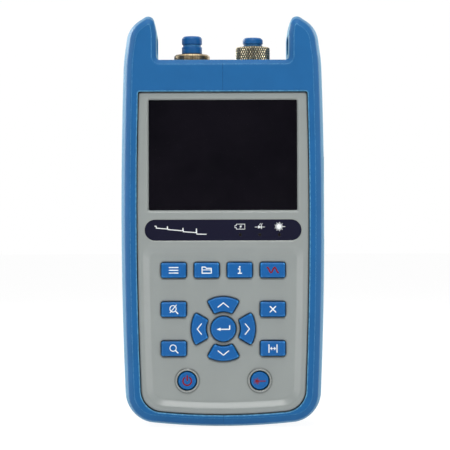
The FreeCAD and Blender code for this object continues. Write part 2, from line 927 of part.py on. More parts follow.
def posts(sketch, places, offset, radius):
    """A circle at each of the places, which are pairs of a side and a level."""
    for side, level in places:
        disc(sketch, "%d * %s" % (side, offset), level, radius)


def case_shell(name, hand, inside):
    """One half of the case: a rounded block, hollow from the split plane, with its raised panel."""
    case = Piece(name)
    edge = case_levels(case, hand, "0")
    case.grow(edge[0], "case_back - case_round", -hand)
    case.loft(edge)
    hollow = case.sketch("front", "0")
    inset = "boot_wall + case_wall"
    top = "case_top - case_wall"
    shield(hollow, inset, inset, top, "bottom_corner - (%s)" % inset, "case_top_corner - case_wall")
    case.cut(hollow, inside, hand)
    panel = case.sketch("front", "%d * back_panel" % hand)
    lip_opening(panel, "panel_gap")
    case.grow(panel, "back_panel - case_back + weld", -hand)
    return case


def port_notch(case, hand):
    """The half notch in the top wall that takes the port block."""
    notch = case.sketch("top", "case_top")
    half = "(port_block_width / 2 + port_fit)"
    near, far = "-port_fit", "port_block_depth / 2 + port_fit"
    if hand < 0:
        near, far = "-(%s)" % far, "port_fit"
    box(notch, "-" + half, half, near, far)
    case.cut(notch, "case_wall + weld", -1)


def make_front_case():
    case = case_shell("front_case", -1, "-case_inside")

    glass = case.sketch("front", "case_inside")
    lap = "(window_width / 2 + window_lap + window_fit)"
    reach = "(window_height / 2 + window_lap + window_fit)"
    box(glass, "-" + lap, lap, "window_level - " + reach, "window_level + " + reach)
    case.cut(glass, "case_inside - window_front", -1)
    bevel = []
    for place, more in (("panel_front", "window_bevel"), ("panel_front + window_bevel_depth", "0")):
        sketch = case.sketch("front", place)
        half, rise = "(window_width / 2 + %s)" % more, "(window_height / 2 + %s)" % more
        box(sketch, "-" + half, half, "window_level - " + rise, "window_level + " + rise, "window_corner")
        bevel.append(sketch)
    case.loft(bevel, take=True)
    case.cut(bevel[1], "window_setback", 1)

    legend = case.sketch("front", "panel_front")
    pill(legend, "0")
    case.cut(legend, "legend_thickness", 1)
    lamps = case.sketch("front", "panel_front + legend_thickness")
    for count in range(3):
        disc(lamps, "lamp_first + %d * lamp_pitch" % count, "lamp_level", "lamp_radius + lamp_fit")
    case.cut(lamps, "case_inside - panel_front", 1)

    dish = []
    for place, more in (("panel_front", "0"), ("dish_floor", "dish_slope")):
        sketch = case.sketch("front", place)
        shield(
            sketch,
            "lip_side + panel_gap + dish_rim + " + more,
            "lip_foot + panel_gap + dish_foot_rim + " + more,
            "dish_top - " + more,
            "dish_corner - %s / 2" % more,
            "dish_top_corner - %s / 2" % more,
        )
        dish.append(sketch)
    case.loft(dish, take=True)
    collars = case.sketch("front", "dish_floor - collar_rise")
    for side in (-1, 1):
        disc(collars, "%d * round_key_offset" % side, "round_key_level", "collar_radius")
    case.grow(collars, "collar_rise + weld", 1)
    holes = case.sketch("front", "key_front")
    for name, (draw, _, _) in KEYS.items():
        draw(holes, key_seat(name)[1])
    case.cut(holes, "case_inside - key_front", 1)

    columns = case.sketch("front", "0")
    posts(columns, CASE_POSTS, "case_post_offset", "case_post_radius")
    case.grow(columns, "-case_inside + weld", -1)
    rests = case.sketch("front", "board_front")
    posts(rests, BOARD_POSTS, "board_post_offset", "board_post_radius")
    case.grow(rests, "board_front - case_inside + weld", -1)
    threads = case.sketch("front", "0")
    posts(threads, CASE_POSTS, "case_post_offset", "case_screw_radius")
    case.cut(threads, "case_screw_length / 2", -1)
    taps = case.sketch("front", "board_front")
    posts(taps, BOARD_POSTS, "board_post_offset", "board_screw_radius")
    case.cut(taps, "board_screw_bite + running_fit", -1)

    groove = case.sketch("front", "0")
    seal_ring(groove, "seal_fit")
    case.cut(groove, "seal_depth", -1)
    port_notch(case, -1)
    sockets = case.sketch("side", "half_width")
    disc(sockets, "socket_y", "jack_level", "jack_size / 2 + port_fit")
    box(
        sockets,
        "socket_y - usb_thickness / 2 - port_fit",
        "socket_y + usb_thickness / 2 + port_fit",
        "usb_level - usb_width / 2 - port_fit",
        "usb_level + usb_width / 2 + port_fit",
        "usb_wall",
    )
    case.cut(sockets, "boot_wall + case_wall + socket_floor", -1)


def pill(sketch, less):
    """The outline of the legend plate, a bar with round ends, made smaller by less."""
    half, rise = "(legend_length / 2 - %s)" % less, "(legend_width / 2 - %s)" % less
    box(sketch, "-" + half, half, "legend_level - " + rise, "legend_level + " + rise, rise + " * 0.999")


def seal_ring(sketch, fit):
    """The ring of the case seal, in the middle of the wall, made wider by fit on each side."""
    middle = "boot_wall + case_wall / 2"
    for sign in ("-", "+"):
        inset = "%s %s (seal_width / 2 + %s)" % (middle, sign, fit)
        shield(
            sketch,
            inset,
            inset,
            "case_top + boot_wall - (%s)" % inset,
            "bottom_corner - (%s)" % inset,
            "case_top_corner + boot_wall - (%s)" % inset,
        )


def make_seal():
    seal = Piece("case_seal")
    ring = seal.sketch("front", "0")
    seal_ring(ring, "0")
    seal.grow(ring, "seal_depth - seal_fit", -1)
    gap = seal.sketch("front", "weld")
    half = "(port_block_width / 2 + port_fit + seal_width / 2)"
    box(gap, "-" + half, half, "case_top - case_wall - weld", "case_top + weld")
    seal.cut(gap, "seal_depth + 2 * weld", -1)


def make_rear_case():
    case = case_shell("rear_case", 1, "stand_recess - case_front_wall")
    columns = case.sketch("front", "0")
    posts(columns, CASE_POSTS, "case_post_offset", "case_post_radius")
    case.grow(columns, "case_back - case_front_wall / 2", 1)
    tub = case.sketch("front", "bay_floor_depth - bay_floor")
    half = "(bay_width / 2 + case_wall)"
    box(tub, "-" + half, half, "cover_foot - bay_margin", "cover_top + cover_tab + bay_corner", "bay_margin")
    case.grow(tub, "case_back - bay_floor_depth + bay_floor - case_front_wall / 2", 1)
    bay = case.sketch("front", "back_panel")
    box(bay, "-bay_width / 2", "bay_width / 2", "bay_foot", "bay_top", "bay_corner")
    case.cut(bay, "back_panel - bay_floor_depth", -1)
    rebate = case.sketch("front", "back_panel")
    cover_outline(rebate, "0")
    case.cut(rebate, "cover_thickness", -1)
    tabs = case.sketch("front", "cover_front")
    for side in (-1, 1):
        tab_outline(tabs, side, "cover_fit")
    case.cut(tabs, "cover_thickness + cover_fit", -1)
    cover_taps = case.sketch("front", "cover_front")
    for side in (-1, 1):
        disc(cover_taps, "%d * cover_screw_offset" % side, "cover_screw_level", "cover_screw_radius")
    case.cut(cover_taps, "cover_screw_length", -1)

    recess = case.sketch("front", "back_panel")
    stand_outline(recess, "stand_gap")
    case.cut(recess, "back_panel - stand_recess", -1)
    notch = case.sketch("front", "back_panel")
    box(
        notch,
        "-stand_notch_width / 2",
        "stand_notch_width / 2",
        "stand_foot - stand_notch_drop",
        "stand_foot + stand_gap",
        "stand_inner_corner",
    )
    case.cut(notch, "stand_thickness", -1)
    pins = case.sketch("side", "stand_width / 2 + stand_pin_reach / 2")
    disc(pins, "stand_axis_y", "stand_axis", "stand_pin_radius + pin_fit")
    case.cut(pins, "stand_width + stand_pin_reach", -1)

    heads = case.sketch("front", "case_back")
    posts(heads, CASE_POSTS, "case_post_offset", "case_screw_head + case_screw_fit")
    case.cut(heads, "case_screw_sink + case_screw_head_height", -1)
    shanks = case.sketch("front", "case_back")
    posts(shanks, CASE_POSTS, "case_post_offset", "case_screw_radius + case_screw_fit")
    case.cut(shanks, "case_back", -1)
    port_notch(case, 1)


def cover_outline(sketch, less):
    """The outline of the battery cover, made smaller by less."""
    half = "(cover_width / 2 - %s)" % less
    box(sketch, "-" + half, half, "cover_foot + " + less, "cover_top - " + less, "cover_corner")


def tab_outline(sketch, side, more):
    """One of the two tabs along the cover's top edge, made larger by more."""
    middle = "%d * cover_screw_offset" % side
    half = "(cover_tab_width / 2 + %s)" % more
    box(
        sketch,
        "%s - %s" % (middle, half),
        "%s + %s" % (middle, half),
        "bay_top - cover_tab_lap",
        "cover_top + cover_tab + " + more,
    )


def stand_outline(sketch, more):
    """The U of the kickstand: two legs and a bar, made larger by more."""
    outer, inner = "(stand_width / 2 + %s)" % more, "(stand_width / 2 - stand_leg - %s)" % more
    foot, bar, top = "stand_foot - " + more, "stand_foot + stand_bar + " + more, "stand_top + " + more
    wide, narrow, low, mid, high = value(outer), value(inner), value(foot), value(bar), value(top)
    outline(
        sketch,
        (Line("0", foot, 0), "stand_corner + " + more, (wide, low)),
        (Line(outer, "0", 90), "0", (wide, high)),
        (Line("0", top, 180), "0", (narrow, high)),
        (Line(inner, "0", -90), "stand_inner_corner", (narrow, mid)),
        (Line("0", bar, 180), "stand_inner_corner", (-narrow, mid)),
        (Line("-" + inner, "0", 90), "0", (-narrow, high)),
        (Line("0", top, 180), "0", (-wide, high)),
        (Line("-" + outer, "0", -90), "stand_corner + " + more, (-wide, low)),
    )


# ---------------------------------------------------------------- display and legend


def make_display():
    half, rise = "(window_width / 2 + window_lap)", "(window_height / 2 + window_lap)"
    plate(
        "display_window", "front", "window_front", "window_thickness", 1,
        (box, "-" + half, half, "window_level - " + rise, "window_level + " + rise),
    )
    inner, low = half + " - gasket_width", rise + " - gasket_width"
    plate(
        "display_gasket", "front", "window_back", "case_inside - window_back", 1,
        (box, "-" + half, half, "window_level - " + rise, "window_level + " + rise),
        (box, "-(%s)" % inner, inner, "window_level - (%s)" % low, "window_level + " + low),
    )
    middle = "window_level - lcd_drop"
    plate(
        "lcd_module", "front", "case_inside", "lcd_thickness", 1,
        (box, "-lcd_width / 2", "lcd_width / 2",
         middle + " - lcd_height / 2", middle + " + lcd_height / 2", "lcd_corner"),
    )
    legend = plate(
        "legend_plate", "front", "panel_front", "legend_thickness", 1, (pill, "legend_fit"),
    )
    holes = legend.sketch("front", "panel_front")
    for count in range(3):
        disc(holes, "lamp_first + %d * lamp_pitch" % count, "lamp_level", "lamp_radius + lamp_fit / 2")
    legend.cut(holes, "legend_thickness", 1)
    plate(
        "light_pipes", "front", "panel_front + lamp_fit", "board_front - panel_front - lamp_fit", 1,
        *[(disc, "lamp_first + %d * lamp_pitch" % count, "lamp_level", "lamp_radius") for count in range(3)],
    )


# ---------------------------------------------------------------- boards and optics


def make_boards():
    board = plate(
        "main_board", "front", "board_front", "board_thickness", 1,
        (box, "-board_width / 2", "board_width / 2", "board_foot", "board_top", "board_corner"),
    )
    holes = board.sketch("front", "board_front")
    posts(holes, BOARD_POSTS, "board_post_offset", "board_screw_radius + running_fit")
    board.cut(holes, "board_thickness", 1)
    chips = (
        ("-chip_column", "chip_low_row", "large_chip"),
        ("chip_column", "chip_low_row", "small_chip"),
        ("-chip_column", "chip_high_row", "small_chip"),
        ("chip_column", "chip_high_row", "large_chip"),
    )
    plate(
        "board_chips", "front", "board_back", "chip_height", 1,
        *[
            (box, "%s - %s / 2" % (x, edge), "%s + %s / 2" % (x, edge),
             "%s - %s / 2" % (y, edge), "%s + %s / 2" % (y, edge))
            for x, y, edge in chips
        ],
    )
    screws = plate(
        "board_screws", "front", "board_back", "board_screw_head_height", 1,
        (posts, BOARD_POSTS, "board_post_offset", "board_screw_head"),
    )
    shanks = screws.sketch("front", "board_back")
    posts(shanks, BOARD_POSTS, "board_post_offset", "board_screw_radius - pin_fit")
    screws.grow(shanks, "board_thickness + board_screw_bite", -1)


def tube(name, side, profile):
    """A turned piece about the axis of the port on one side, from points (radius, height)."""
    piece = Piece(name)
    sketch = piece.sketch("front", "0", aside="%d * port_offset" % side)
    if callable(profile):
        profile(sketch)
    else:
        polygon(sketch, *profile)
    piece.turn(sketch)
    return piece


def barrel_profile():
    """The shank in the port block, and the barrel above it that takes a ferrule."""
    return (
        ("sleeve_radius + pin_fit", "case_top - port_shank_length"),
        ("port_shank_radius", "case_top - port_shank_length"),
        ("port_shank_radius", "case_top"),
        ("barrel_radius", "case_top"),
        ("barrel_radius", "barrel_top - cap_clearance"),
        ("barrel_radius - cap_clearance", "barrel_top"),
        ("sleeve_radius + pin_fit", "barrel_top"),
    )


def cap_profile(foot, top, skirt):
    """A soft cup over a barrel, with a groove below its head to pull it by."""

    def draw(sketch):
        near = (value("cap_radius"), value(foot))
        high = (value("cap_radius"), value(top))
        neck = "cap_radius - cap_groove"
        ledge = "%s + %s" % (foot, skirt)
        brim = ledge + " + cap_groove_height"
        walk = [
            (Line("0", foot, 0), "0", near),
            (Line("cap_radius", "0", 90), "0", (near[0], value(ledge))),
            (Line("0", ledge, 180), "0", (value(neck), value(ledge))),
            (Line(neck, "0", 90), "0", (value(neck), value(brim))),
            (Line("0", brim, 0), "0", (near[0], value(brim))),
            (Line("cap_radius", "0", 90), "cap_round", high),
            (Line("0", top, 180), "0", (0, high[1])),
            (Line("0", "0", -90), "0", (0, high[1] - 1)),
            (Line("0", "barrel_top + cap_clearance", 0), "0", (value("cap_bore"), high[1] - 1)),
            (Line("cap_bore", "0", -90), "0", near),
        ]
        outline(sketch, *walk)

    return draw


def make_ports():
    block = plate(
        "port_block", "top", "case_top - case_wall - port_fit", "case_wall + port_fit", 1,
        (box, "-port_block_width / 2", "port_block_width / 2",
         "-port_block_depth / 2", "port_block_depth / 2"),
    )
    flange = block.sketch("top", "case_top - case_wall - port_fit")
    half = "(port_block_width / 2 + port_block_flange)"
    deep = "(port_block_depth / 2 + port_block_flange)"
    box(flange, "-" + half, half, "-" + deep, deep, "1")
    block.grow(flange, "port_block_height - case_wall", -1)
    bores = block.sketch("top", "case_top")
    for side in (-1, 1):
        disc(bores, "%d * port_offset" % side, "0", "port_shank_radius + port_fit")
    block.cut(bores, "port_block_height + port_fit", -1)

    tube("otdr_barrel", -1, barrel_profile())
    tube("fault_source_barrel", 1, barrel_profile())
    tube(
        "ferrule_sleeve", -1,
        (
            ("ferrule_radius", "case_top - port_shank_length"),
            ("sleeve_radius", "case_top - port_shank_length"),
            ("sleeve_radius", "barrel_top - sleeve_drop"),
            ("ferrule_radius", "barrel_top - sleeve_drop"),
        ),
    )
    tube(
        "otdr_port_flange", -1,
        (
            ("barrel_radius + running_fit", "case_top"),
            ("flange_radius", "case_top"),
            ("flange_radius", "flange_top - flange_chamfer"),
            ("flange_radius - flange_chamfer", "flange_top"),
            ("barrel_radius + running_fit", "flange_top"),
        ),
    )
    tube(
        "knurled_ring", 1,
        (
            ("barrel_radius + running_fit", "case_top + seat_gap"),
            ("knurl_radius", "case_top + seat_gap"),
            ("knurl_radius", "knurl_top - knurl_chamfer"),
            ("knurl_radius - knurl_chamfer * 1.5", "knurl_top"),
            ("barrel_radius + running_fit", "knurl_top"),
        ),
    )
    tube("otdr_dust_cap", -1, cap_profile("flange_top + seat_gap", "cap_top", "cap_skirt"))
    tube("fault_source_dust_cap", 1, cap_profile("knurl_top + seat_gap", "small_cap_top", "small_cap_skirt"))


def make_optics():
    low = "module_level - module_height / 2"
    plate(
        "otdr_module", "front", "board_back", "module_depth", 1,
        (box, "module_side - board_width / 2", "module_side - board_width / 2 + module_width",
         low, low + " + module_height", "board_corner"),
    )
    tube(
        "otdr_fibre", -1,
        (
            ("0", low + " + module_height"),
            ("fibre_radius", low + " + module_height"),
            ("fibre_radius", "case_top - port_shank_length"),
            ("0", "case_top - port_shank_length"),
        ),
    )
    tube(
        "fault_source_laser", 1,
        (
            ("0", "case_top - port_shank_length - source_length"),
            ("source_radius", "case_top - port_shank_length - source_length"),
            ("source_radius", "case_top - port_shank_length"),
            ("0", "case_top - port_shank_length"),
        ),
    )


# ---------------------------------------------------------------- power, sockets, kickstand


def make_power():
    half = "(bay_width / 2 - battery_fit)"
    pack = plate(
        "battery_pack", "front", "bay_floor_depth", "cover_front - bay_floor_depth - battery_fit / 2", 1,
        (box, "-" + half, half, "bay_foot + battery_fit", "bay_top - contact_space"),
    )
    pack.bevel("battery_round", faces_at(0, half), "Fillet")
    pack.bevel("battery_round", faces_at(0, "-" + half), "Fillet")
    plate(
        "battery_contacts", "front", "bay_floor_depth + contact_sink", "contact_length", 1,
        *[
            (box, "%s * contact_pitch - contact_width / 2" % place, "%s * contact_pitch + contact_width / 2" % place,
             "bay_top - contact_space", "bay_top")
            for place in (-1.5, -0.5, 0.5, 1.5)
        ],
    )
    cover = plate("battery_cover", "front", "back_panel", "cover_thickness", -1, (cover_outline, "cover_fit"))
    tabs = cover.sketch("front", "cover_front")
    for side in (-1, 1):
        tab_outline(tabs, side, "0")
    cover.grow(tabs, "cover_tab_thickness", -1)
    holes = cover.sketch("front", "back_panel")
    for side in (-1, 1):
        disc(holes, "%d * cover_screw_offset" % side, "cover_screw_level", "cover_screw_head + cover_screw_fit")
    cover.cut(holes, "cover_screw_sink + cover_screw_head_height", -1)
    shanks = cover.sketch("front", "back_panel")
    for side in (-1, 1):
        disc(shanks, "%d * cover_screw_offset" % side, "cover_screw_level", "cover_screw_radius + cover_screw_fit")
    cover.cut(shanks, "cover_thickness", -1)
    heads = Piece("battery_cover_screws")
    sketch = heads.sketch("front", "back_panel - cover_screw_sink")
    for side in (-1, 1):
        disc(sketch, "%d * cover_screw_offset" % side, "cover_screw_level", "cover_screw_head")
    heads.grow(sketch, "cover_screw_head_height", -1)
    sketch = heads.sketch("front", "back_panel - cover_screw_sink - cover_screw_head_height / 2")
    for side in (-1, 1):
        disc(sketch, "%d * cover_screw_offset" % side, "cover_screw_level", "cover_screw_radius - pin_fit")
    heads.grow(sketch, "cover_screw_length", -1)


def make_case_screws():
    screws = Piece("case_screws")
    heads = screws.sketch("front", "case_back - case_screw_sink")
    posts(heads, CASE_POSTS, "case_post_offset", "case_screw_head")
    screws.grow(heads, "case_screw_head_height", -1)
    shanks = screws.sketch("front", "case_back - case_screw_sink - case_screw_head_height / 2")
    posts(shanks, CASE_POSTS, "case_post_offset", "case_screw_radius - pin_fit")
    screws.grow(shanks, "case_screw_length", -1)


def make_kickstand():
    stand = plate("kickstand", "front", "stand_back", "stand_thickness", -1, (stand_outline, "0"))
    stand.bevel("stand_thickness * 0.49", faces_at(2, "stand_top"), "Fillet")
    holes = stand.sketch("side", "stand_width / 2")
    disc(holes, "stand_axis_y", "stand_axis", "stand_pin_radius + running_fit")
    stand.cut(holes, "stand_width", -1)
    pins = Piece("kickstand_pins")
    for side in (-1, 1):
        pin = pins.sketch("side", "%d * (stand_width / 2 + stand_pin_reach / 2 - weld)" % side)
        disc(pin, "stand_axis_y", "stand_axis", "stand_pin_radius")
        pins.grow(pin, "stand_leg / 2 + stand_pin_reach", -side)


def make_flap():
    """The side door: a strip of the boot's own wall with a knuckle along its rear edge."""
    inner = "half_width - boot_wall + flap_gap"
    rear, web = "flap_axis_y - flap_knuckle - flap_skin_lap", "flap_knuckle / 2"

    def skin(y):
        return "half_width - flap_gap / 2 - " + quarter_round("-(%s)" % y, "round_reach", "round_depth")

    edge, middle, start = "flap_front + flap_gap", "flap_front / 1.4", "round_depth - half_depth"
    low, length = "flap_low + flap_gap", "flap_high - flap_low - 2 * flap_gap"
    flap = Piece("side_flap")
    door = flap.sketch("top", low)
    polygon(
        door,
        (inner, rear),
        (inner, edge),
        (skin(edge), edge),
        (skin(middle), middle),
        (skin(start), start),
        (skin(start), rear),
        ("flap_axis_x + " + web, rear),
        ("flap_axis_x + " + web, "flap_axis_y"),
        ("flap_axis_x - " + web, "flap_axis_y"),
        ("flap_axis_x - " + web, rear),
    )
    flap.grow(door, length, 1)
    knuckle = flap.sketch("top", low)
    disc(knuckle, "flap_axis_x", "flap_axis_y", "flap_knuckle")
    flap.grow(knuckle, length, 1)
    bore = flap.sketch("top", low)
    disc(bore, "flap_axis_x", "flap_axis_y", "flap_pin_radius + running_fit")
    flap.cut(bore, length, 1)
    plate(
        "flap_pin", "top", "flap_low - flap_pin_reach", "flap_high - flap_low + 2 * flap_pin_reach", 1,
        (disc, "flap_axis_x", "flap_axis_y", "flap_pin_radius"),
    )


def make_sockets():
    jack = Piece("dc_jack")
    body = jack.sketch("side", "half_width - boot_wall")
    disc(body, "socket_y", "jack_level", "jack_size / 2")
    jack.grow(body, "socket_length", -1)
    bore = jack.sketch("side", "half_width - boot_wall")
    disc(bore, "socket_y", "jack_level", "jack_bore")
    disc(bore, "socket_y", "jack_level", "jack_pin")
    jack.cut(bore, "socket_length - socket_floor", -1)
    usb = Piece("usb_socket")
    shell = usb.sketch("side", "half_width - boot_wall")
    box(shell, "socket_y - usb_thickness / 2", "socket_y + usb_thickness / 2",
        "usb_level - usb_width / 2", "usb_level + usb_width / 2", "usb_wall")
    usb.grow(shell, "usb_length", -1)
    mouth = usb.sketch("side", "half_width - boot_wall")
    box(mouth, "socket_y - usb_thickness / 2 + usb_wall", "socket_y + usb_thickness / 2 - usb_wall",
        "usb_level - usb_width / 2 + usb_wall", "usb_level + usb_width / 2 - usb_wall")
    usb.cut(mouth, "usb_length - usb_wall", -1)


def check_pieces():
    """Stops if any object failed or any sub-part isn't a valid solid."""
    document.recompute()
    for item in document.Objects:
        if "Invalid" in item.State or "Error" in item.State:
            raise RuntimeError("%s is %s" % (item.Name, item.State))
    for body in pieces:
        if body.Shape.isNull() or not body.Shape.isValid() or not body.Shape.Solids:
            raise RuntimeError("%s has no valid solid" % body.Label)


make_boot()
make_front_case()
make_rear_case()
make_seal()
make_case_screws()
make_display()
make_keypad()
make_boards()
make_ports()
make_optics()
make_power()
make_kickstand()
make_flap()
make_sockets()
check_pieces()

os.makedirs("parts", exist_ok=True)
for body in pieces:
    body.Shape.exportStep("parts/%s.step" % body.Label)
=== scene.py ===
"""Looks of the handheld optical time domain reflectometer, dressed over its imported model.

Lengths of pieces, and lengths given to moulded() and turned(), are millimetres, turned to metres by
MM where they are used. Shared effects take metres, and the floor, the lamps and the camera are
placed in metres.
"""

import json
import math

import bpy
import numpy as np
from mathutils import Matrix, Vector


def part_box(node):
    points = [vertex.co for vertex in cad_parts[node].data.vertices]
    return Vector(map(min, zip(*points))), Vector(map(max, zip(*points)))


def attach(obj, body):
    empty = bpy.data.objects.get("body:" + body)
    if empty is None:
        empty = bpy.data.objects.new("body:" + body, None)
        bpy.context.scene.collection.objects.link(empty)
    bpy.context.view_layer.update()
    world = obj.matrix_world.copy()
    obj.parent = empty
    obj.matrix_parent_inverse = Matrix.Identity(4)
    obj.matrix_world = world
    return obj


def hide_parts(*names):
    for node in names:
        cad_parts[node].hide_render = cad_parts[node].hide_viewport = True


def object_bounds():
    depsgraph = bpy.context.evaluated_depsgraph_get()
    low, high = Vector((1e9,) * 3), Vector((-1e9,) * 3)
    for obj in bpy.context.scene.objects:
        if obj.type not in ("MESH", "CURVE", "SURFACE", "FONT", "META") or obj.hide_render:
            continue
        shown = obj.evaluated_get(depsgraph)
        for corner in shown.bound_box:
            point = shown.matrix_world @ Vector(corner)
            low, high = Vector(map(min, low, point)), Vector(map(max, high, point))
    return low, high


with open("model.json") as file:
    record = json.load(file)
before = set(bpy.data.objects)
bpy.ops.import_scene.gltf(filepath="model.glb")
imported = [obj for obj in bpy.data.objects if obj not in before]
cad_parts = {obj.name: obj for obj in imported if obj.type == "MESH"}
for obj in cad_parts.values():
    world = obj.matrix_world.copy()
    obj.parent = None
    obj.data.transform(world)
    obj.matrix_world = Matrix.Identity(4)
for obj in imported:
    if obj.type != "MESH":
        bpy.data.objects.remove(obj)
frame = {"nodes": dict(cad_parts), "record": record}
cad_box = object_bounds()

MM = 0.001


def corners(node):
    """Lowest and highest corner of a node, in millimetres."""
    low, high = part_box(node)
    return np.array(low) / MM, np.array(high) / MM


def middle(node):
    """Centre of a node's box, in millimetres."""
    low, high = corners(node)
    return (low + high) / 2


# ---------------------------------------------------------------- node helpers


def put(tree, kind, inputs=(), **settings):
    """A node with its settings, and its inputs given as numbers, colours or sockets to link from."""
    node = tree.nodes.new(kind)
    for name, setting in settings.items():
        setattr(node, name, setting)
    for name, what in dict(inputs).items():
        socket = node.inputs[name]
        if isinstance(what, bpy.types.NodeSocket):
            tree.links.new(what, socket)
        else:
            socket.default_value = what
    return node


def maths(tree, operation, *values, clamp=False):
    """One step of arithmetic on numbers or sockets."""
    node = put(tree, "ShaderNodeMath", dict(enumerate(values)), operation=operation, use_clamp=clamp)
    return node.outputs[0]


def blend_colour(tree, factor, one, two):
    """The first colour where the factor is 0, the second where it is 1."""
    node = put(tree, "ShaderNodeMix", {0: factor, 6: one, 7: two}, data_type="RGBA")
    return node.outputs[2]


def ramp(tree, value, low, high):
    """0 below low, 1 above high, smooth between."""
    inputs = {"Value": value, "From Min": low, "From Max": high}
    node = put(tree, "ShaderNodeMapRange", inputs, interpolation_type="SMOOTHSTEP")
    return node.outputs[0]


def on_piece(tree):
    """Where a point lies on its piece, in metres."""
    return put(tree, "ShaderNodeTexCoord").outputs["Object"]


def noise(tree, place, scale, detail, roughness=0.5, distortion=0.0):
    """Cloudy noise from 0 to 1, with about as many clouds as scale in one unit of place."""
    inputs = {
        "Vector": place, "Scale": scale, "Detail": detail, "Roughness": roughness, "Distortion": distortion,
    }
    return put(tree, "ShaderNodeTexNoise", inputs).outputs[0]


def group(name, inputs, outputs):
    """An empty node group with named sockets; returns it with its input and output nodes."""
    tree = bpy.data.node_groups.new(name, "ShaderNodeTree")
    for socket, kind in inputs.items():
        tree.interface.new_socket(socket, in_out="INPUT", socket_type="NodeSocket" + kind)
    for socket, kind in outputs.items():
        tree.interface.new_socket(socket, in_out="OUTPUT", socket_type="NodeSocket" + kind)
    return tree, tree.nodes.new("NodeGroupInput"), tree.nodes.new("NodeGroupOutput")


def use(tree, shared, inputs):
    """A shared group placed in a material with its own values; returns its outputs."""
    return put(tree, "ShaderNodeGroup", inputs, node_tree=shared).outputs


def srgb(red, green, blue):
    """A colour given on the 0 to 255 display scale, as linear light."""
    levels = np.array([red, green, blue]) / 255
    linear = np.where(levels < 0.04045, levels / 12.92, ((levels + 0.055) / 1.055) ** 2.4)
    return (*linear.tolist(), 1.0)


def shade(colour, factor=1.0):
    """A colour made lighter or darker by a factor, or by one factor for each of red, green and blue."""
    return (*np.minimum(np.array(colour[:3]) * factor, 1), 1)


# ---------------------------------------------------------------- shared effects


def make_grain():
    """Moulded grain: fine pebbles of a size in metres, over a softer swell, as a height."""
    tree, given, out = group("Moulded grain", {"Size": "Float", "Swell": "Float"}, {"Height": "Float"})
    swell_scale = 0.11
    place = on_piece(tree)
    fine = maths(tree, "DIVIDE", 1.0, given.outputs["Size"])
    pebbles = noise(tree, place, fine, 2.0)
    swell = noise(tree, place, maths(tree, "MULTIPLY", fine, swell_scale), 1.0)
    swell = maths(tree, "MULTIPLY", swell, given.outputs["Swell"])
    tree.links.new(maths(tree, "ADD", pebbles, swell), out.inputs["Height"])
    return tree


def make_drift():
    """Tone drift: a colour that wanders slowly between two over the surface, with faint pale specks."""
    sockets = {"Light": "Color", "Dark": "Color", "Size": "Float", "Specks": "Float"}
    tree, given, out = group("Tone drift", sockets, {"Color": "Color"})
    specks_per_metre, speck_radius, speck_colour = 420.0, 0.06, (0.8, 0.8, 0.8, 1)
    place = on_piece(tree)
    cloud = noise(tree, place, maths(tree, "DIVIDE", 1.0, given.outputs["Size"]), 3.0, roughness=0.6)
    wander = ramp(tree, cloud, 0.3, 0.7)
    tone = blend_colour(tree, wander, given.outputs["Dark"], given.outputs["Light"])
    inputs = {"Vector": place, "Scale": specks_per_metre, "Randomness": 1.0}
    dust = put(tree, "ShaderNodeTexVoronoi", inputs)
    speck = maths(tree, "LESS_THAN", dust.outputs["Distance"], speck_radius)
    strength = maths(tree, "MULTIPLY", speck, given.outputs["Specks"])
    tree.links.new(blend_colour(tree, strength, tone, speck_colour), out.inputs["Color"])
    return tree


def make_edges():
    """Edge highlight: a mask of painted highlight by how near the surface is to an outer edge, felt from
    inside and broken up by noise.

    The mask goes from 0 to the given amount. Catch is the share of the view from inside that nearby
    faces have to cut off for the full highlight. The normal is rounded over every edge by the radius Round.
    """
    sockets = {"Amount": "Float", "Width": "Float", "Catch": "Float", "Round": "Float"}
    tree, given, out = group("Edge highlight", sockets, {"Mask": "Float", "Normal": "Vector"})
    breaks_per_metre, least_kept, onset = 700.0, 0.4, 0.6
    soft = put(tree, "ShaderNodeBevel", {"Radius": given.outputs["Round"]}, samples=8)
    core = put(
        tree, "ShaderNodeAmbientOcclusion", {"Distance": given.outputs["Width"]},
        samples=12, inside=True, only_local=True,
    )
    least = maths(tree, "MULTIPLY", given.outputs["Catch"], onset)
    turn = ramp(tree, maths(tree, "SUBTRACT", 1.0, core.outputs["AO"]), least, given.outputs["Catch"])
    broken = ramp(tree, noise(tree, on_piece(tree), breaks_per_metre, 4.0), 0.35, 0.65)
    kept = maths(tree, "ADD", maths(tree, "MULTIPLY", broken, 1 - least_kept), least_kept)
    edge_highlight = maths(tree, "MULTIPLY", maths(tree, "MULTIPLY", turn, kept), given.outputs["Amount"], clamp=True)
    tree.links.new(edge_highlight, out.inputs["Mask"])
    tree.links.new(soft.outputs[0], out.inputs["Normal"])
    return tree


def make_crevices():
    """Crevice shade: a mask of painted shade by how far the surface is closed in by its neighbours within a
    reach, from 0 to 1.
    """
    tree, given, out = group("Crevice shade", {"Reach": "Float"}, {"Mask": "Float"})
    open_sky = put(tree, "ShaderNodeAmbientOcclusion", {"Distance": given.outputs["Reach"]}, samples=8)
    closed = maths(tree, "SUBTRACT", 1.0, open_sky.outputs["AO"])
    tree.links.new(ramp(tree, closed, 0.1, 0.58), out.inputs["Mask"])
    return tree


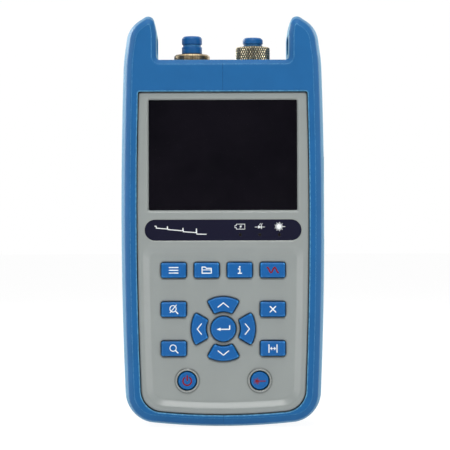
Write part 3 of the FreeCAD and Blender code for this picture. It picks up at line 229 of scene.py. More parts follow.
def make_smudges():
    """Smudges: soft patches and fine hairline marks that change the gloss, from 0 to 1."""
    tree, given, out = group("Smudges", {"Size": "Float"}, {"Mask": "Float"})
    hairs_per_metre, hair_lean, hair_strength = (900, 60, 25), (0, 0.5, 0), 0.4
    place = on_piece(tree)
    scale = maths(tree, "DIVIDE", 1.0, given.outputs["Size"])
    patches = ramp(tree, noise(tree, place, scale, 5.0, distortion=0.6), 0.35, 0.75)
    inputs = {"Vector": place, "Scale": hairs_per_metre, "Rotation": hair_lean}
    stretched = put(tree, "ShaderNodeMapping", inputs).outputs[0]
    hairs = ramp(tree, noise(tree, stretched, 1.0, 2.0), 0.66, 0.74)
    marks = maths(tree, "MULTIPLY", hairs, hair_strength)
    tree.links.new(maths(tree, "ADD", patches, marks, clamp=True), out.inputs["Mask"])
    return tree


def make_parting():
    """A mould parting line: a hair's breadth across one axis, broken up along its length, from 0 to 1."""
    tree, given, out = group("Parting line", {"Place": "Float", "Axis": "Vector"}, {"Mask": "Float"})
    core, rim = 0.08 * MM, 0.22 * MM
    gaps_per_metre = 260.0
    place = on_piece(tree)
    inputs = {0: place, 1: given.outputs["Axis"]}
    across = put(tree, "ShaderNodeVectorMath", inputs, operation="DOT_PRODUCT").outputs["Value"]
    off = maths(tree, "ABSOLUTE", maths(tree, "SUBTRACT", across, given.outputs["Place"]))
    line = maths(tree, "SUBTRACT", 1.0, ramp(tree, off, core, rim))
    kept = ramp(tree, noise(tree, place, gaps_per_metre, 2.0), 0.35, 0.55)
    tree.links.new(maths(tree, "MULTIPLY", line, kept), out.inputs["Mask"])
    return tree


grain = make_grain()
parting = make_parting()
drift = make_drift()
edges = make_edges()
crevices = make_crevices()
smudges = make_smudges()


# ---------------------------------------------------------------- materials


def blank(name):
    """A new material with its tree and its Principled BSDF."""
    material = bpy.data.materials.new(name)
    material.use_nodes = True
    return material, material.node_tree, material.node_tree.nodes["Principled BSDF"]


def moulded(
    name, colour, roughness, *, size, depth, shift=0.06, edge_highlight=0.0, edge_colour=None, rim=0.4, catch=0.35,
    soften=0.35, painted_shade=0.0, reach=1.5, specks=0.0, specular=0.25, sheen=0.0, seams=(),
):
    """Moulded plastic or rubber: grain, drifting tone, a painted highlight on each rounded edge, painted
    shade in its crevices.

    Lengths in millimetres: size and depth of the grain, rim, the width of an edge's painted highlight,
    soften, the radius of its round, and reach, how far a crevice is felt. Shift is how far the tone
    drifts as a share of the colour. The strengths of the painted edge highlight, of the painted crevice
    shade and of the specks go from 0 to 1. Catch is how sharp an edge has to be before it takes its
    highlight. Each seam is a pair (axis, place) of a parting line across that axis.
    """
    material, tree, shader = blank(name)
    highlight_grey, highlight_share, painted_shade_level = 0.75, 0.35, 0.12
    seam_shade, seam_strength = 0.6, 0.85
    rough_swing, rough_start = 0.12, roughness - 0.08
    tones = {"Light": shade(colour, 1 + shift), "Dark": shade(colour, 1 - shift)}
    tone = use(tree, drift, {**tones, "Size": 0.02, "Specks": specks})["Color"]
    sizes = {"Width": rim * MM, "Round": soften * MM}
    edge = use(tree, edges, {"Amount": edge_highlight, "Catch": catch, **sizes})
    plain = np.array(colour[:3])
    # Painted highlight: outer edges lightened towards a pale colour.
    pale = edge_colour or shade(plain + (highlight_grey - plain) * highlight_share)
    tone = blend_colour(tree, edge["Mask"], tone, pale)
    # Painted shade: crevices, gaps and the feet of raised parts darkened.
    if painted_shade:
        closed = use(tree, crevices, {"Reach": reach * MM})["Mask"]
        tone = blend_colour(tree, maths(tree, "MULTIPLY", closed, painted_shade), tone, shade(colour, painted_shade_level))
    height = use(tree, grain, {"Size": size * MM, "Swell": 0.6})["Height"]
    for axis, place in seams:
        line = use(tree, parting, {"Place": place, "Axis": axis})["Mask"]
        strength = maths(tree, "MULTIPLY", line, seam_strength)
        tone = blend_colour(tree, strength, tone, shade(colour, seam_shade))
        height = maths(tree, "SUBTRACT", height, line)
    tree.links.new(tone, shader.inputs["Base Color"])
    rough = maths(tree, "ADD", maths(tree, "MULTIPLY", height, rough_swing), rough_start)
    tree.links.new(rough, shader.inputs["Roughness"])
    bump = put(tree, "ShaderNodeBump", {"Height": height, "Distance": depth * MM, "Strength": 0.5})
    tree.links.new(edge["Normal"], bump.inputs["Normal"])
    tree.links.new(bump.outputs[0], shader.inputs["Normal"])
    shader.inputs["Specular IOR Level"].default_value = specular
    shader.inputs["Sheen Weight"].default_value = sheen
    shader.inputs["Sheen Roughness"].default_value = 0.35
    shader.inputs["Sheen Tint"].default_value = (0.5, 0.95, 1.0, 1)
    return material


def turned(name, colour, roughness, axis, *, ring, edge_highlight, streak=9.0, painted_shade=None):
    """Lathe-turned metal: fine rings about an upright axis, darker streaks down it that are a painted
    reflection, a painted highlight on each edge, and tarnish.

    Axis is the point (x, y) that the axis goes through and ring the width of its rings, both in
    millimetres. Streak is about how many streaks there are in one radian. The last argument names the
    attribute that is 1 where shade is painted, in a knurl's valleys.
    """
    material, tree, shader = blank(name)
    groove_shade, streak_shade, painted_shade_level, edge_shade = 0.55, 0.5, 0.13, 1.35
    tarnish_shade, tarnish_share, patches_per_metre = np.array([0.62, 0.52, 0.42]), 0.35, 400.0
    edge_width, groove_depth = 0.3 * MM, 0.02 * MM
    rough_swing, rough_start = 0.2, roughness - 0.1
    place = on_piece(tree)
    inputs = {0: place, 1: (-axis[0] * MM, -axis[1] * MM, 0)}
    centred = put(tree, "ShaderNodeVectorMath", inputs).outputs[0]
    x, y, z = put(tree, "ShaderNodeSeparateXYZ", {0: centred}).outputs
    square_x, square_y = maths(tree, "MULTIPLY", x, x), maths(tree, "MULTIPLY", y, y)
    radius = maths(tree, "SQRT", maths(tree, "ADD", square_x, square_y))
    section = put(tree, "ShaderNodeCombineXYZ", {0: radius, 1: z}).outputs[0]
    rings = noise(tree, section, 1 / (ring * MM), 3.0, roughness=0.7)
    proud = ramp(tree, rings, 0.35, 0.62)
    tone = blend_colour(tree, proud, shade(colour, groove_shade), shade(colour))
    # Painted reflection: darker streaks by the angle about the axis.
    spoke = put(tree, "ShaderNodeCombineXYZ", {0: x, 1: y}).outputs[0]
    way = put(tree, "ShaderNodeVectorMath", {0: spoke}, operation="NORMALIZE").outputs[0]
    streaks = ramp(tree, noise(tree, way, streak, 3.0), 0.42, 0.6)
    tone = blend_colour(tree, streaks, shade(colour, streak_shade), tone)
    patches = ramp(tree, noise(tree, place, patches_per_metre, 4.0), 0.45, 0.75)
    tarnish = maths(tree, "MULTIPLY", patches, tarnish_share)
    tone = blend_colour(tree, tarnish, tone, shade(colour, tarnish_shade))
    # Painted highlight on the metal's edges.
    edge = use(tree, edges, {"Amount": edge_highlight, "Width": edge_width, "Catch": 0.35, "Round": edge_width})
    tone = blend_colour(tree, edge["Mask"], tone, shade(colour, edge_shade))
    # Painted shade where the named attribute is high, in a knurl's valleys.
    if painted_shade:
        low = put(tree, "ShaderNodeAttribute", attribute_name=painted_shade).outputs["Fac"]
        tone = blend_colour(tree, ramp(tree, low, 0.25, 0.8), tone, shade(colour, painted_shade_level))
    tree.links.new(tone, shader.inputs["Base Color"])
    rough = maths(tree, "ADD", maths(tree, "MULTIPLY", rings, rough_swing), rough_start)
    tree.links.new(rough, shader.inputs["Roughness"])
    bump = put(tree, "ShaderNodeBump", {"Height": rings, "Distance": groove_depth, "Strength": 0.6})
    tree.links.new(edge["Normal"], bump.inputs["Normal"])
    tree.links.new(bump.outputs[0], shader.inputs["Normal"])
    shader.inputs["Metallic"].default_value = 1.0
    return material


def printed(name, colour):
    """Screen-printed ink: slightly uneven in tone and gloss."""
    material, tree, shader = blank(name)
    flecks_per_metre, fleck_shade, rough_swing, rough_start = 2500.0, 0.86, 0.2, 0.4
    fleck = noise(tree, on_piece(tree), flecks_per_metre, 2.0)
    tone = blend_colour(tree, ramp(tree, fleck, 0.4, 0.75), shade(colour), shade(colour, fleck_shade))
    tree.links.new(tone, shader.inputs["Base Color"])
    rough = maths(tree, "ADD", maths(tree, "MULTIPLY", fleck, rough_swing), rough_start)
    tree.links.new(rough, shader.inputs["Roughness"])
    shader.inputs["Specular IOR Level"].default_value = 0.3
    return material


def window_glass():
    """The dark display window: deep gloss with faint smudges and dust."""
    material, tree, shader = blank("Dark display window")
    clean_roughness, smudge_roughness = 0.05, 0.1
    tones = {"Light": srgb(20, 18, 24), "Dark": srgb(15, 14, 19)}
    tone = use(tree, drift, {**tones, "Size": 0.03, "Specks": 0.02})["Color"]
    tree.links.new(tone, shader.inputs["Base Color"])
    mask = use(tree, smudges, {"Size": 0.018})["Mask"]
    rough = maths(tree, "ADD", maths(tree, "MULTIPLY", mask, smudge_roughness), clean_roughness)
    tree.links.new(rough, shader.inputs["Roughness"])
    shader.inputs["Specular IOR Level"].default_value = 0.12
    return material


left_port = middle("otdr_port_flange")
right_port = middle("knurled_ring")
across_width = (1, 0, 0)

finishes = {
    # Edge colours and edge strengths paint a highlight; crevice strengths paint shade.
    "boot_rubber": moulded(
        "Boot rubber", srgb(27, 94, 150), 0.5, size=0.25, depth=0.02, shift=0.04,
        edge_highlight=0.75, edge_colour=srgb(112, 180, 216), rim=0.75, catch=0.19, soften=2.0,
        painted_shade=0.8, reach=0.9, specks=0.012, specular=0.16, sheen=0.4, seams=[(across_width, 0.0)],
    ),
    "grey_plastic": moulded(
        "Housing plastic", srgb(142, 148, 146), 0.3, size=0.18, depth=0.01, shift=0.02,
        edge_highlight=0.35, edge_colour=srgb(198, 203, 200), soften=1.3,
        painted_shade=1.0, reach=1.7, specks=0.01, specular=0.7,
    ),
    "window": window_glass(),
    "black_plastic": moulded("Black plastic", srgb(28, 28, 30), 0.55, size=0.2, depth=0.03),
    "legend_film": moulded(
        "Legend film", srgb(16, 16, 40), 0.4, size=0.1, depth=0.004, shift=0.05, specks=0.02, specular=0.15,
    ),
    "clear_plastic": moulded("Unlit lamp lens", srgb(18, 14, 16), 0.25, size=0.2, depth=0.005),
    "key_plastic": moulded(
        "Key plastic", srgb(6, 90, 158), 0.32, size=0.12, depth=0.008, shift=0.04,
        edge_highlight=0.9, edge_colour=srgb(70, 156, 222), rim=1.0, catch=0.25,
        painted_shade=0.6, reach=0.6, specks=0.01, specular=0.3,
    ),
    "grey_silicone": moulded("Silicone", srgb(34, 35, 39), 0.6, size=0.3, depth=0.02),
    "board_green": moulded(
        "Solder resist", srgb(20, 90, 45), 0.35, size=0.4, depth=0.02, shift=0.12, edge_highlight=0.1,
    ),
    "steel": turned("Plain steel", srgb(185, 186, 190), 0.35, (0, 0), ring=0.2, edge_highlight=0.2),
    "brass": turned(
        "Turned brass", srgb(196, 176, 140), 0.36, left_port, ring=0.16, edge_highlight=0.2, streak=12.0,
    ),
    # Lighter than the turned brass: a painted highlight on the tips of the knurl.
    "knurled": turned(
        "Knurled brass", srgb(255, 238, 198), 0.3, right_port, ring=0.2, edge_highlight=0.4, painted_shade="valley",
    ),
    "ceramic": moulded(
        "Zirconia", srgb(236, 234, 226), 0.2, size=0.1, depth=0.002, shift=0.01, specular=0.5,
    ),
    "cap_rubber": moulded(
        "Dust cap rubber", srgb(16, 87, 146), 0.42, size=0.3, depth=0.012,
        edge_highlight=0.5, edge_colour=srgb(84, 156, 200), painted_shade=0.8, reach=1.4, specular=0.3, sheen=0.12,
    ),
    "aluminium": turned("Bare aluminium", srgb(190, 192, 196), 0.4, (0, 0), ring=0.25, edge_highlight=0.2),
    "fibre_jacket": moulded("Fibre jacket", srgb(220, 196, 60), 0.4, size=0.3, depth=0.01),
    "battery_wrap": moulded("Battery wrap", srgb(40, 80, 66), 0.3, size=0.5, depth=0.02, shift=0.08),
}
white_ink = printed("White ink", srgb(236, 240, 240))
red_ink = printed("Red ink", srgb(128, 5, 16))


def smooth(piece, angle):
    """Joins the loose triangles and shades the surface smooth, with a crease at every sharper edge."""
    piece.data.polygons.foreach_set("use_smooth", np.ones(len(piece.data.polygons), bool))
    weld = piece.modifiers.new("weld", "WELD")
    weld.merge_threshold = 1e-6
    split = piece.modifiers.new("crease", "EDGE_SPLIT")
    split.split_angle = math.radians(angle)
    level = piece.modifiers.new("level", "WEIGHTED_NORMAL")
    level.keep_sharp = True
    level.weight = 90


def dress_nodes():
    """Gives every node the finish of its slot, and a crease angle: the dished front needs a finer one."""
    fine_crease, plain_crease = 15, 26
    slots = {part["node"]: part["material_slot"] for part in frame["record"]["subparts"]}
    for name, piece in frame["nodes"].items():
        piece.data.materials.clear()
        piece.data.materials.append(finishes[slots[name]])
        smooth(piece, fine_crease if name == "front_case" else plain_crease)


dress_nodes()


# ---------------------------------------------------------------- surfaces


def make_mesh(name, points, faces, material, body):
    """A piece of the object from points in millimetres; it rides on a body."""
    mesh = bpy.data.meshes.new(name)
    mesh.from_pydata((np.asarray(points) * MM).tolist(), [], faces)
    mesh.polygons.foreach_set("use_smooth", np.ones(len(mesh.polygons), bool))
    mesh.materials.append(material)
    piece = bpy.data.objects.new(name, mesh)
    bpy.context.scene.collection.objects.link(piece)
    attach(piece, body)
    return piece


def grid_faces(rows, columns, wrap_rows=False, wrap_columns=False):
    """Quads over a grid of points numbered row by row, closed round where it wraps."""
    down = np.arange(rows if wrap_rows else rows - 1)
    across = np.arange(columns if wrap_columns else columns - 1)
    row, column = np.meshgrid(down, across, indexing="ij")
    next_row, next_column = (row + 1) % rows, (column + 1) % columns
    quads = np.stack([
        row * columns + column, row * columns + next_column,
        next_row * columns + next_column, next_row * columns + column,
    ], axis=-1)
    return quads.reshape(-1, 4).tolist()


def rounded(points, steps=6):
    """A closed profile through corners (radius, height, round), each made an arc of its round.

    An arc's points are those of its chord, pushed out from the arc's centre to its radius.
    """
    points = np.array(points, float)
    path = []
    for place, (x, y, size) in enumerate(points):
        here = np.array([x, y])
        if size == 0:
            path.append(here)
            continue
        before, after = points[place - 1][:2] - here, points[(place + 1) % len(points)][:2] - here
        before, after = before / np.linalg.norm(before), after / np.linalg.norm(after)
        half = math.acos(np.clip(before @ after, -1, 1)) / 2
        centre = here + (before + after) / np.linalg.norm(before + after) * size / math.sin(half)
        start = here + before * size / math.tan(half) - centre
        end = here + after * size / math.tan(half) - centre
        turn = np.linspace(0, 1, steps + 1)[:, None]
        chord = start * (1 - turn) + end * turn
        path.extend(centre + chord / np.linalg.norm(chord, axis=1)[:, None] * size)
    return np.array(path)


def revolve(name, profile, axis, steps, material, body):
    """A closed profile (radius, height) turned about an upright axis.

    Point (i, j) is the profile's point j at the angle 2 pi i / steps.
    """
    angle = np.linspace(0, 2 * math.pi, steps, endpoint=False)[:, None]
    radius, height = profile[:, 0][None, :], profile[:, 1][None, :]
    x, y = axis[0] + radius * np.cos(angle), axis[1] + radius * np.sin(angle)
    points = np.stack([x, y, np.broadcast_to(height, x.shape)], axis=-1).reshape(-1, 3)
    faces = grid_faces(steps, len(profile), wrap_rows=True, wrap_columns=True)
    return make_mesh(name, points, faces, material, body)


# ---------------------------------------------------------------- ports

PORT_BORE = 4.06  # radius of the bore of a piece that slips over a port's barrel


def make_caps():
    """The two soft dust caps, each a cup turned about its port, with a groove under its head."""
    roof_thickness, groove, lean, head_round = 1.2, 0.55, 0.2, 1.6
    axis_radius = 0.001
    for node, port, skirt, neck in (
        ("otdr_dust_cap", left_port, 3.4, 1.4),
        ("fault_source_dust_cap", right_port, 0.3, 0.9),
    ):
        low, high = corners(node)
        foot, top, radius = low[2], high[2], (high[0] - low[0]) / 2
        roof, ledge = top - roof_thickness, foot + skirt
        profile = rounded([
            (PORT_BORE, foot, 0.1), (radius, foot, skirt / 8), (radius, ledge, skirt / 8),
            (radius - groove, ledge + lean, 0.2), (radius - groove, ledge + neck - lean, 0.2),
            (radius, ledge + neck, 0.4), (radius, top, head_round),
            (axis_radius, top, 0), (axis_radius, roof, 0), (PORT_BORE, roof, 0.3),
        ])
        cap = revolve(node + "_form", profile, port, 96, finishes["cap_rubber"], node)
        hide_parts(node)


def make_knurl():
    """The knurled ring: pyramids where two families of grooves cross on its rim.

    The height over the rim is the smaller of two triangle waves, one rising to the right and one to
    the left, so that each cell of the crossing grooves is a pyramid; its tip is cut flat. Point (i, j)
    is ring i of the section at the angle 2 pi j / columns. The shoulder falls as a quarter ellipse.
    """
    low, high = corners("knurled_ring")
    radius = (high[0] - low[0]) / 2
    cells, per_cell, pitch, depth, steepness = 40, 8, 2.3, 0.45, 1.25
    shoulder_height, drop, foot_chamfer, foot_gap, top_gap = 0.9, 1.1, 0.6, 0.3, 0.05
    foot, shoulder, top = low[2], high[2] - shoulder_height, high[2]
    rows, columns = int((shoulder - foot) / pitch * per_cell * 2), cells * per_cell
    angle, height = np.meshgrid(
        np.linspace(0, 2 * math.pi, columns, endpoint=False),
        np.linspace(foot + foot_gap, top - top_gap, rows),
    )
    turns, climbs = angle * cells / (2 * math.pi), (height - foot) / pitch

    def wave(phase):
        return np.abs(2 * (phase - np.floor(phase + 0.5)))

    proud = np.clip(np.minimum(wave(turns + climbs), wave(turns - climbs)) * steepness, 0, 1)
    over = np.clip((height - shoulder) / (top - shoulder), 0, 1)
    rim = radius - drop * (1 - np.sqrt(1 - over ** 2)) - depth + depth * proud
    inner = [(PORT_BORE, top), (PORT_BORE, foot), (radius - foot_chamfer, foot)]
    chamfer = [(radius - drop - depth, top)]
    rings = [(np.full(columns, r), np.full(columns, z)) for r, z in inner]
    rings += [(rim[row], height[row]) for row in range(rows)]
    rings += [(np.full(columns, r), np.full(columns, z)) for r, z in chamfer]
    radii, heights = np.array([r for r, _ in rings]), np.array([z for _, z in rings])
    around = angle[0][None, :]
    x, y = right_port[0] + radii * np.cos(around), right_port[1] + radii * np.sin(around)
    points = np.stack([x, y, heights], axis=-1).reshape(-1, 3)
    faces = grid_faces(len(rings), columns, wrap_rows=True, wrap_columns=True)
    piece = make_mesh("knurled_ring_form", points, faces, finishes["knurled"], "knurled_ring")
    piece.data.polygons.foreach_set("use_smooth", np.zeros(len(piece.data.polygons), bool))
    # Valley is 1 in the knurl's grooves, where turned() paints shade.
    valley = np.zeros((len(rings), columns))
    valley[len(inner):len(inner) + rows] = 1 - proud
    piece.data.attributes.new("valley", "FLOAT", "POINT").data.foreach_set("value", valley.ravel())
    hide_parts("knurled_ring")


make_caps()
make_knurl()


# ---------------------------------------------------------------- back screws


def make_screws():
    """The two cover screws: low domed heads with a cross recess, on plain shanks.

    Point (i, j) is the profile's point j at the angle 2 pi i / steps. The dome falls with the square
    of the distance from its middle. It falls further, by the recess depth, where the point lies in
    either arm of the cross, with a short slope at the arm's edge.
    """
    low, high = corners("battery_cover_screws")
    radius, level, face = (high[2] - low[2]) / 2, (low[2] + high[2]) / 2, high[1]
    shank, head, dome, rim_width = 1.0, 1.3, 0.18, 0.2
    arm, reach, depth, slope = 0.3, 1.3, 0.6, 0.14
    steps, rings = 96, 26
    spread = np.linspace(0.004, 1, rings) * (radius - rim_width)
    crown = np.stack([spread, face - dome * (spread / radius) ** 2], axis=-1)
    edge = rounded([
        (radius - rim_width, face - dome, 0), (radius, face - dome - 0.02, 0.12),
        (radius, face - head, 0.1), (shank, face - head, 0.1), (shank, low[1], 0.1), (0.01, low[1], 0),
    ])
    profile = np.concatenate([crown, edge[1:]])
    angle = np.linspace(0, 2 * math.pi, steps, endpoint=False)[:, None]
    across, up = profile[:, 0] * np.cos(angle), profile[:, 0] * np.sin(angle)

    def inside(narrow, long):
        sides = np.minimum((arm - np.abs(narrow)) / slope, (reach - np.abs(long)) / slope)
        return np.clip(sides + 0.5, 0, 1)

    cross = np.maximum(inside(across, up), inside(up, across))
    on_face = np.arange(len(profile))[None, :] < rings
    y = profile[:, 1][None, :] - np.where(on_face, depth * cross, 0)
    quads = grid_faces(steps, len(profile), wrap_rows=True, wrap_columns=True)
    points, faces = [], []
    for centre in (low[0] + radius, high[0] - radius):
        count = len(points) * steps * len(profile)
        faces += [[count + place for place in quad] for quad in quads]
        points.append(np.stack([centre + across, y, level + up], axis=-1).reshape(-1, 3))
    points = np.concatenate(points)
    name = "battery_cover_screws"
    piece = make_mesh(name + "_form", points, faces, finishes["steel"], "instrument")
    crease = piece.modifiers.new("crease", "EDGE_SPLIT")
    crease.split_angle = math.radians(35)
    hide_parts(name)


make_screws()


# ---------------------------------------------------------------- printed signs


def ribbon(path, width, thick=0.05, steps=12):
    """A stroke of ink along a path in the key's plane: a flat ellipse carried along it, with round ends.

    Point (i, j) is path point i, plus half the width times cos j along the path's normal and the
    thickness times sin j towards the user; the end rings shrink as a half circle does.
    """
    path = np.asarray(path, float)
    tangent = np.gradient(path, axis=0)
    tangent /= np.linalg.norm(tangent, axis=1)[:, None]
    end_rings, tip = 4, 0.02
    ends = np.linspace(0, math.pi / 2, end_rings + 1)[1:]
    half = width / 2
    start = path[0] - tangent[0] * half * np.sin(ends[::-1])[:, None]
    finish = path[-1] + tangent[-1] * half * np.sin(ends)[:, None]
    spine = np.concatenate([start, path, finish])
    first, last = np.repeat(tangent[:1], end_rings, 0), np.repeat(tangent[-1:], end_rings, 0)
    direction = np.concatenate([first, tangent, last])
    scale = np.concatenate([np.cos(ends[::-1]), np.ones(len(path)), np.cos(ends)])
    scale = np.maximum(scale, tip)
    turn = np.linspace(0, 2 * math.pi, steps, endpoint=False)
    normal = np.stack([-direction[:, 1], direction[:, 0]], axis=-1)
    side = (half * scale)[:, None] * np.cos(turn)
    x = spine[:, :1] + normal[:, :1] * side
    z = spine[:, 1:] + normal[:, 1:] * side
    y = -thick * scale[:, None] * np.sin(turn)
    points = np.stack([x, y, z], axis=-1).reshape(-1, 3)
    rings = len(spine)
    faces = [face[::-1] for face in grid_faces(rings, steps, wrap_columns=True)]
    faces += [list(range(steps)), [(rings - 1) * steps + j for j in reversed(range(steps))]]
    return points, faces


def line(*points, width=0.5):
    """Straight strokes between points, one ribbon for each run."""
    runs = []
    for start, end in zip(points, points[1:]):
        share = np.linspace(0, 1, 3)[:, None]
        runs.append(ribbon(np.array(start) * (1 - share) + np.array(end) * share, width))
    return runs


def lines(*runs, width=0.5):
    """Several lines of one width, each given as its points."""
    strokes = []
    for points in runs:
        strokes += line(*points, width=width)
    return strokes


def curve(centre, radius, first, last, width, steps=32):
    """A stroke along an arc of a circle, from one angle to another in degrees."""
    angle = np.radians(np.linspace(first, last, steps))
    path = np.array(centre) + radius * np.stack([np.cos(angle), np.sin(angle)], axis=-1)
    return [ribbon(path, width)]


def blot(outline, centre, thick=0.05):
    """A filled shape: its outline shrunk towards a centre in rings, front and back, as a flat lens."""
    outline, centre = np.asarray(outline, float), np.asarray(centre, float)
    shrink = np.array([0.02, 0.9, 1.0, 0.9, 0.02])
    lift = np.array([thick, thick, 0.0, -thick, -thick])
    flat = centre + (outline - centre)[None] * shrink[:, None, None]
    y = np.broadcast_to(-lift[:, None], flat.shape[:2])
    points = np.stack([flat[..., 0], y, flat[..., 1]], axis=-1).reshape(-1, 3)
    rings, count = len(shrink), len(outline)
    faces = grid_faces(rings, count, wrap_columns=True)
    faces += [list(reversed(range(count))), [(rings - 1) * count + j for j in range(count)]]
    return [(points, faces)]


def disc(centre, radius, steps=24):
    """A filled circle."""
    angle = np.linspace(0, 2 * math.pi, steps, endpoint=False)
    return blot(np.array(centre) + radius * np.stack([np.cos(angle), np.sin(angle)], axis=-1), centre)


def burst(centre, core, reach, rays, width):
    """A starburst: a filled core with rays of two lengths in turn."""
    start, short = core * 0.7, reach * 0.8
    strokes = disc(centre, core)
    for number in range(rays):
        angle = 2 * math.pi * number / rays
        way = np.array([math.cos(angle), math.sin(angle)])
        far = reach if number % 2 == 0 else short
        strokes += line(np.array(centre) + way * start, np.array(centre) + way * far, width=width)
    return strokes


def lens(centre=(-0.35, 0.35), radius=1.5):
    """A magnifying glass, its handle down to the right."""
    diagonal, handle = np.array([0.7071, -0.7071]), np.array([1.25, -1.25])
    edge = np.array(centre) + diagonal * radius
    return curve(centre, radius, 0, 360, 0.42) + line(edge, edge + handle, width=0.6)


def chevron(turn):
    """An arrow head of two strokes, turned by degrees from pointing right."""
    c, s = math.cos(math.radians(turn)), math.sin(math.radians(turn))
    corner = [(-0.9, 2.5), (1.1, 0.0), (-0.9, -2.5)]
    return line(*[(x * c - y * s, x * s + y * c) for x, y in corner], width=0.5)


def sine(length, height, width):
    """One and a half waves of light."""
    x = np.linspace(-length / 2, length / 2, 48)
    return [ribbon(np.stack([x, height * np.sin(x / length * 3 * math.pi)], axis=-1), width)]


def sign(name, body, centre, front, strokes, ink):
    """Prints strokes, drawn about (0, 0), on a surface that faces the user at the depth front."""
    points, faces, count = [], [], 0
    for stroke_points, stroke_faces in strokes:
        points.append(stroke_points + np.array([centre[0], front, centre[1]]))
        faces += [[count + place for place in face] for face in stroke_faces]
        count += len(stroke_points)
    return make_mesh(name, np.concatenate(points), faces, ink, body)


# The ink of each key's sign and its strokes, in millimetres about the middle of the key's face.
SIGNS = {
    "key_menu": (
        white_ink,
        lines([(-2.1, 1.3), (2.1, 1.3)], [(-2.1, 0), (2.1, 0)], [(-2.1, -1.3), (2.1, -1.3)]),
    ),
    "key_file": (
        white_ink,
        line((-2.2, -1.4), (-2.2, 1.5), (-0.7, 1.5), (-0.1, 0.9), (2.2, 0.9), (2.2, -1.4), (-2.2, -1.4))
        + line((-1.9, 0.15), (1.9, 0.15), width=0.4),
    ),
    "key_info": (
        white_ink,
        disc((0, 1.55), 0.42) + line((-0.6, 0.55), (0.05, 0.55), (0.05, -1.5), width=0.6)
        + line((-0.75, -1.5), (0.85, -1.5), width=0.55),
    ),
    "key_light_source": (red_ink, sine(5.2, 1.2, 0.75)),
    "key_zoom_reset": (white_ink, lens() + line((-1.75, -1.5), (1.25, 2.1), width=0.4)),
    "key_zoom": (white_ink, lens()),
    "key_escape": (
        white_ink,
        lines([(-1.3, 1.3), (1.3, -1.3)], [(-1.3, -1.3), (1.3, 1.3)], width=0.55),
    ),
    "key_markers": (
        white_ink,
        lines([(-1.9, 1.8), (-1.9, -1.8)], [(1.9, 1.8), (1.9, -1.8)])
        + lines(
            [(-1.2, 0), (1.2, 0)], [(-0.6, 0.6), (-1.2, 0), (-0.6, -0.6)],
            [(0.6, 0.6), (1.2, 0), (0.6, -0.6)], width=0.35,
        ),
    ),
    "key_up": (white_ink, chevron(90)),
    "key_down": (white_ink, chevron(270)),
    "key_left": (white_ink, chevron(180)),
    "key_right": (white_ink, chevron(0)),
    "key_enter": (
        white_ink,
        line((-2.2, -0.15), (3.0, -0.15), (3.0, 1.5), width=0.55)
        + blot([(-3.3, -0.15), (-1.3, -0.95), (-1.3, 0.65)], (-1.9, -0.15)),
    ),
    "key_power": (red_ink, curve((0, -0.2), 2.0, 125, 415, 0.72) + line((0, 2.35), (0, 0.1), width=0.72)),
    "key_laser": (
        red_ink,
        burst((-1.4, -0.3), 0.65, 1.75, 10, 0.3) + line((-0.9, -0.3), (2.6, -0.3), width=0.52),
    ),
}


def print_keys():
    """Each key's own sign, in the middle of its face."""
    for key, (ink, strokes) in SIGNS.items():
        place, face = middle(key), corners(key)[0][1]
        sign(key + "_sign", key, (place[0], place[2]), face, strokes, ink)


def print_legend():
    """A plain backscatter trace on the left of the legend plate, and an icon over each of its lamps."""
    low, high = corners("legend_plate")
    face, level = low[1], (low[2] + high[2]) / 2
    trace_middle, icon_rise, icon_inset = -20.3, 1.6, 0.55
    lamps_low, lamps_high = corners("light_pipes")
    first, last, icons = lamps_low[0] + icon_inset, lamps_high[0] - icon_inset, level + icon_rise
    trace = line(
        (-12.2, 1.9), (-11.6, 1.9), (-11.5, 1.0), (-6.4, 0.55), (-6.2, 1.7), (-6.0, 0.3), (1.0, -0.3),
        (1.2, 0.9), (1.4, -0.75), (7.4, -1.2), (7.6, 0.6), (7.8, -1.9), (12.2, -2.0), width=0.42,
    )
    battery = lines(
        [(-1.7, 1.2), (2.3, 1.2), (2.3, -1.2), (-1.7, -1.2), (-1.7, -0.55), (-2.4, -0.55), (-2.4, 0.55),
         (-1.7, 0.55), (-1.7, 1.2)],
        [(0.7, 0.75), (-0.1, -0.02), (0.75, 0.08), (-0.1, -0.75)], width=0.24,
    )
    diode = (
        line((-2.3, -0.2), (2.3, -0.2), width=0.26) + line((0.75, 0.65), (0.75, -1.05), width=0.34)
        + blot([(0.75, -0.2), (-0.75, 0.6), (-0.75, -1.0)], (-0.3, -0.2))
        + lines([(-0.2, 0.8), (0.5, 1.5)], [(0.6, 0.8), (1.3, 1.5)], width=0.22)
    )
    beam = burst((-0.3, 0), 1.15, 2.1, 18, 0.24) + line((-0.3, 0), (2.6, 0), width=0.26)
    for name, place, strokes in (
        ("legend_trace", (trace_middle, level), trace),
        ("legend_battery", (first, icons), battery),
        ("legend_diode", ((first + last) / 2, icons), diode),
        ("legend_beam", (last, icons), beam),
    ):
        sign(name, "instrument", place, face, strokes, white_ink)


print_keys()
print_legend()


# ---------------------------------------------------------------- stage, light and camera


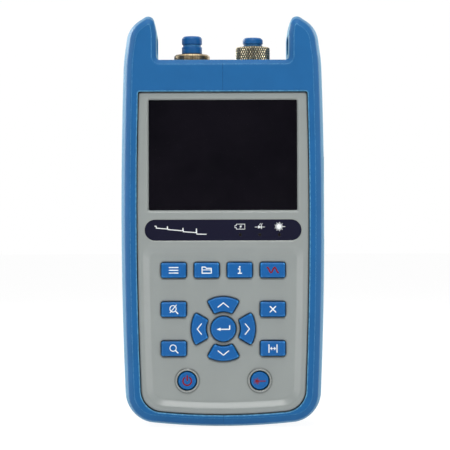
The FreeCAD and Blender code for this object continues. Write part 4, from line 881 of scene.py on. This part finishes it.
def make_floor():
    """A pale floor that keeps the shadow and otherwise melts into the white behind."""
    half, gap = 6.0, 0.0002
    seen_glow, bounce_glow = 0.86, 0.35
    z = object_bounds()[0][2] - gap
    mesh = bpy.data.meshes.new("floor")
    square = [(-half, -half, z), (half, -half, z), (half, half, z), (-half, half, z)]
    mesh.from_pydata(square, [], [[0, 1, 2, 3]])
    floor = bpy.data.objects.new("floor", mesh)
    bpy.context.scene.collection.objects.link(floor)
    material, tree, shader = blank("Pale floor")
    shader.inputs["Base Color"].default_value = (0.86, 0.86, 0.86, 1)
    shader.inputs["Roughness"].default_value = 0.9
    glow = put(tree, "ShaderNodeEmission", {"Color": (1, 1, 1, 1), "Strength": 1.1})
    rays = put(tree, "ShaderNodeLightPath").outputs
    seen = maths(tree, "MAXIMUM", rays["Is Camera Ray"], rays["Is Glossy Ray"])
    bounce = maths(tree, "MULTIPLY", rays["Is Diffuse Ray"], bounce_glow)
    share = maths(tree, "MAXIMUM", maths(tree, "MULTIPLY", seen, seen_glow), bounce)
    mix = put(tree, "ShaderNodeMixShader", {0: share, 1: shader.outputs[0], 2: glow.outputs[0]})
    tree.links.new(mix.outputs[0], tree.nodes["Material Output"].inputs["Surface"])
    mesh.materials.append(material)


def make_world():
    """Soft daylight: white to the eye, and in gloss brighter from behind and above the object."""
    world = bpy.data.worlds.new("Studio")
    world.use_nodes = True
    tree = world.node_tree
    above_share, diffuse_level = 0.15, 0.2
    way = put(tree, "ShaderNodeTexCoord").outputs["Generated"]
    parts = put(tree, "ShaderNodeSeparateXYZ", {0: way}).outputs
    behind, above = ramp(tree, parts["Y"], -0.35, 0.8), ramp(tree, parts["Z"], 0.0, 1.0)
    gloss = maths(tree, "ADD", behind, maths(tree, "MULTIPLY", above, above_share))
    rays = put(tree, "ShaderNodeLightPath").outputs
    diffuse = maths(tree, "MULTIPLY", rays["Is Diffuse Ray"], diffuse_level)
    other = maths(tree, "SUBTRACT", 1.0, rays["Is Diffuse Ray"])
    seen = maths(tree, "MAXIMUM", rays["Is Camera Ray"], rays["Is Transmission Ray"])
    other = maths(tree, "MULTIPLY", other, maths(tree, "MAXIMUM", seen, gloss))
    background = tree.nodes["Background"]
    background.inputs["Color"].default_value = (1, 1, 1, 1)
    tree.links.new(maths(tree, "ADD", other, diffuse), background.inputs["Strength"])
    bpy.context.scene.world = world


def lamp(name, place, wide, high, power):
    """A soft light of a width and a height, aimed at the object's middle."""
    data = bpy.data.lights.new(name, "AREA")
    data.shape = "RECTANGLE"
    data.size, data.size_y = wide, high
    data.energy = power
    light = bpy.data.objects.new(name, data)
    target = (np.array(cad_box[0]) + np.array(cad_box[1])) / 2
    light.location = place
    away = light.location - type(light.location)(target)
    light.rotation_euler = away.to_track_quat("Z", "Y").to_euler()
    bpy.context.scene.collection.objects.link(light)


def make_camera():
    """A long lens a metre off, a little to the left of the middle, as a catalogue view is taken."""
    low, high = (np.array(corner) for corner in cad_box)
    centre = (low + high) / 2
    distance, left, lower, aim_right, roll = 1.0, 0.006, 0.0021, 0.0009, math.radians(0.15)
    data = bpy.data.cameras.new("camera")
    data.lens = 168.2
    data.sensor_width = 36.0
    data.clip_start = 0.05
    camera = bpy.data.objects.new("camera", data)
    camera.location = (-left, low[1] - distance, centre[2] - lower)
    aim = aim_right - camera.location.x
    camera.rotation_euler = (math.pi / 2, roll, -math.atan2(aim, distance))
    bpy.context.scene.collection.objects.link(camera)
    bpy.context.scene.camera = camera


make_floor()
make_world()
lamp("key light", (-0.15, -0.62, 1.35), 0.5, 0.4, 1.0)
lamp("front strip", (0.05, -1.1, 1.06), 0.6, 0.12, 9.5)
lamp("top light", (0.0, -0.1, 1.3), 1.2, 0.9, 8.5)
lamp("left light", (-0.9, 0.5, 0.3), 0.5, 0.7, 5.0)
lamp("right light", (0.95, 0.3, 0.3), 0.5, 0.7, 1.6)
lamp("low left fill", (-0.75, -1.0, 0.04), 0.4, 0.3, 2.1)
lamp("low right fill", (0.75, -1.0, 0.04), 0.4, 0.3, 2.0)
lamp("back left light", (-0.8, 0.95, 0.6), 0.5, 0.5, 7.0)
lamp("back right light", (0.8, 0.95, 0.6), 0.5, 0.5, 3.0)
make_camera()
bpy.context.scene.view_settings.view_transform = "Standard"
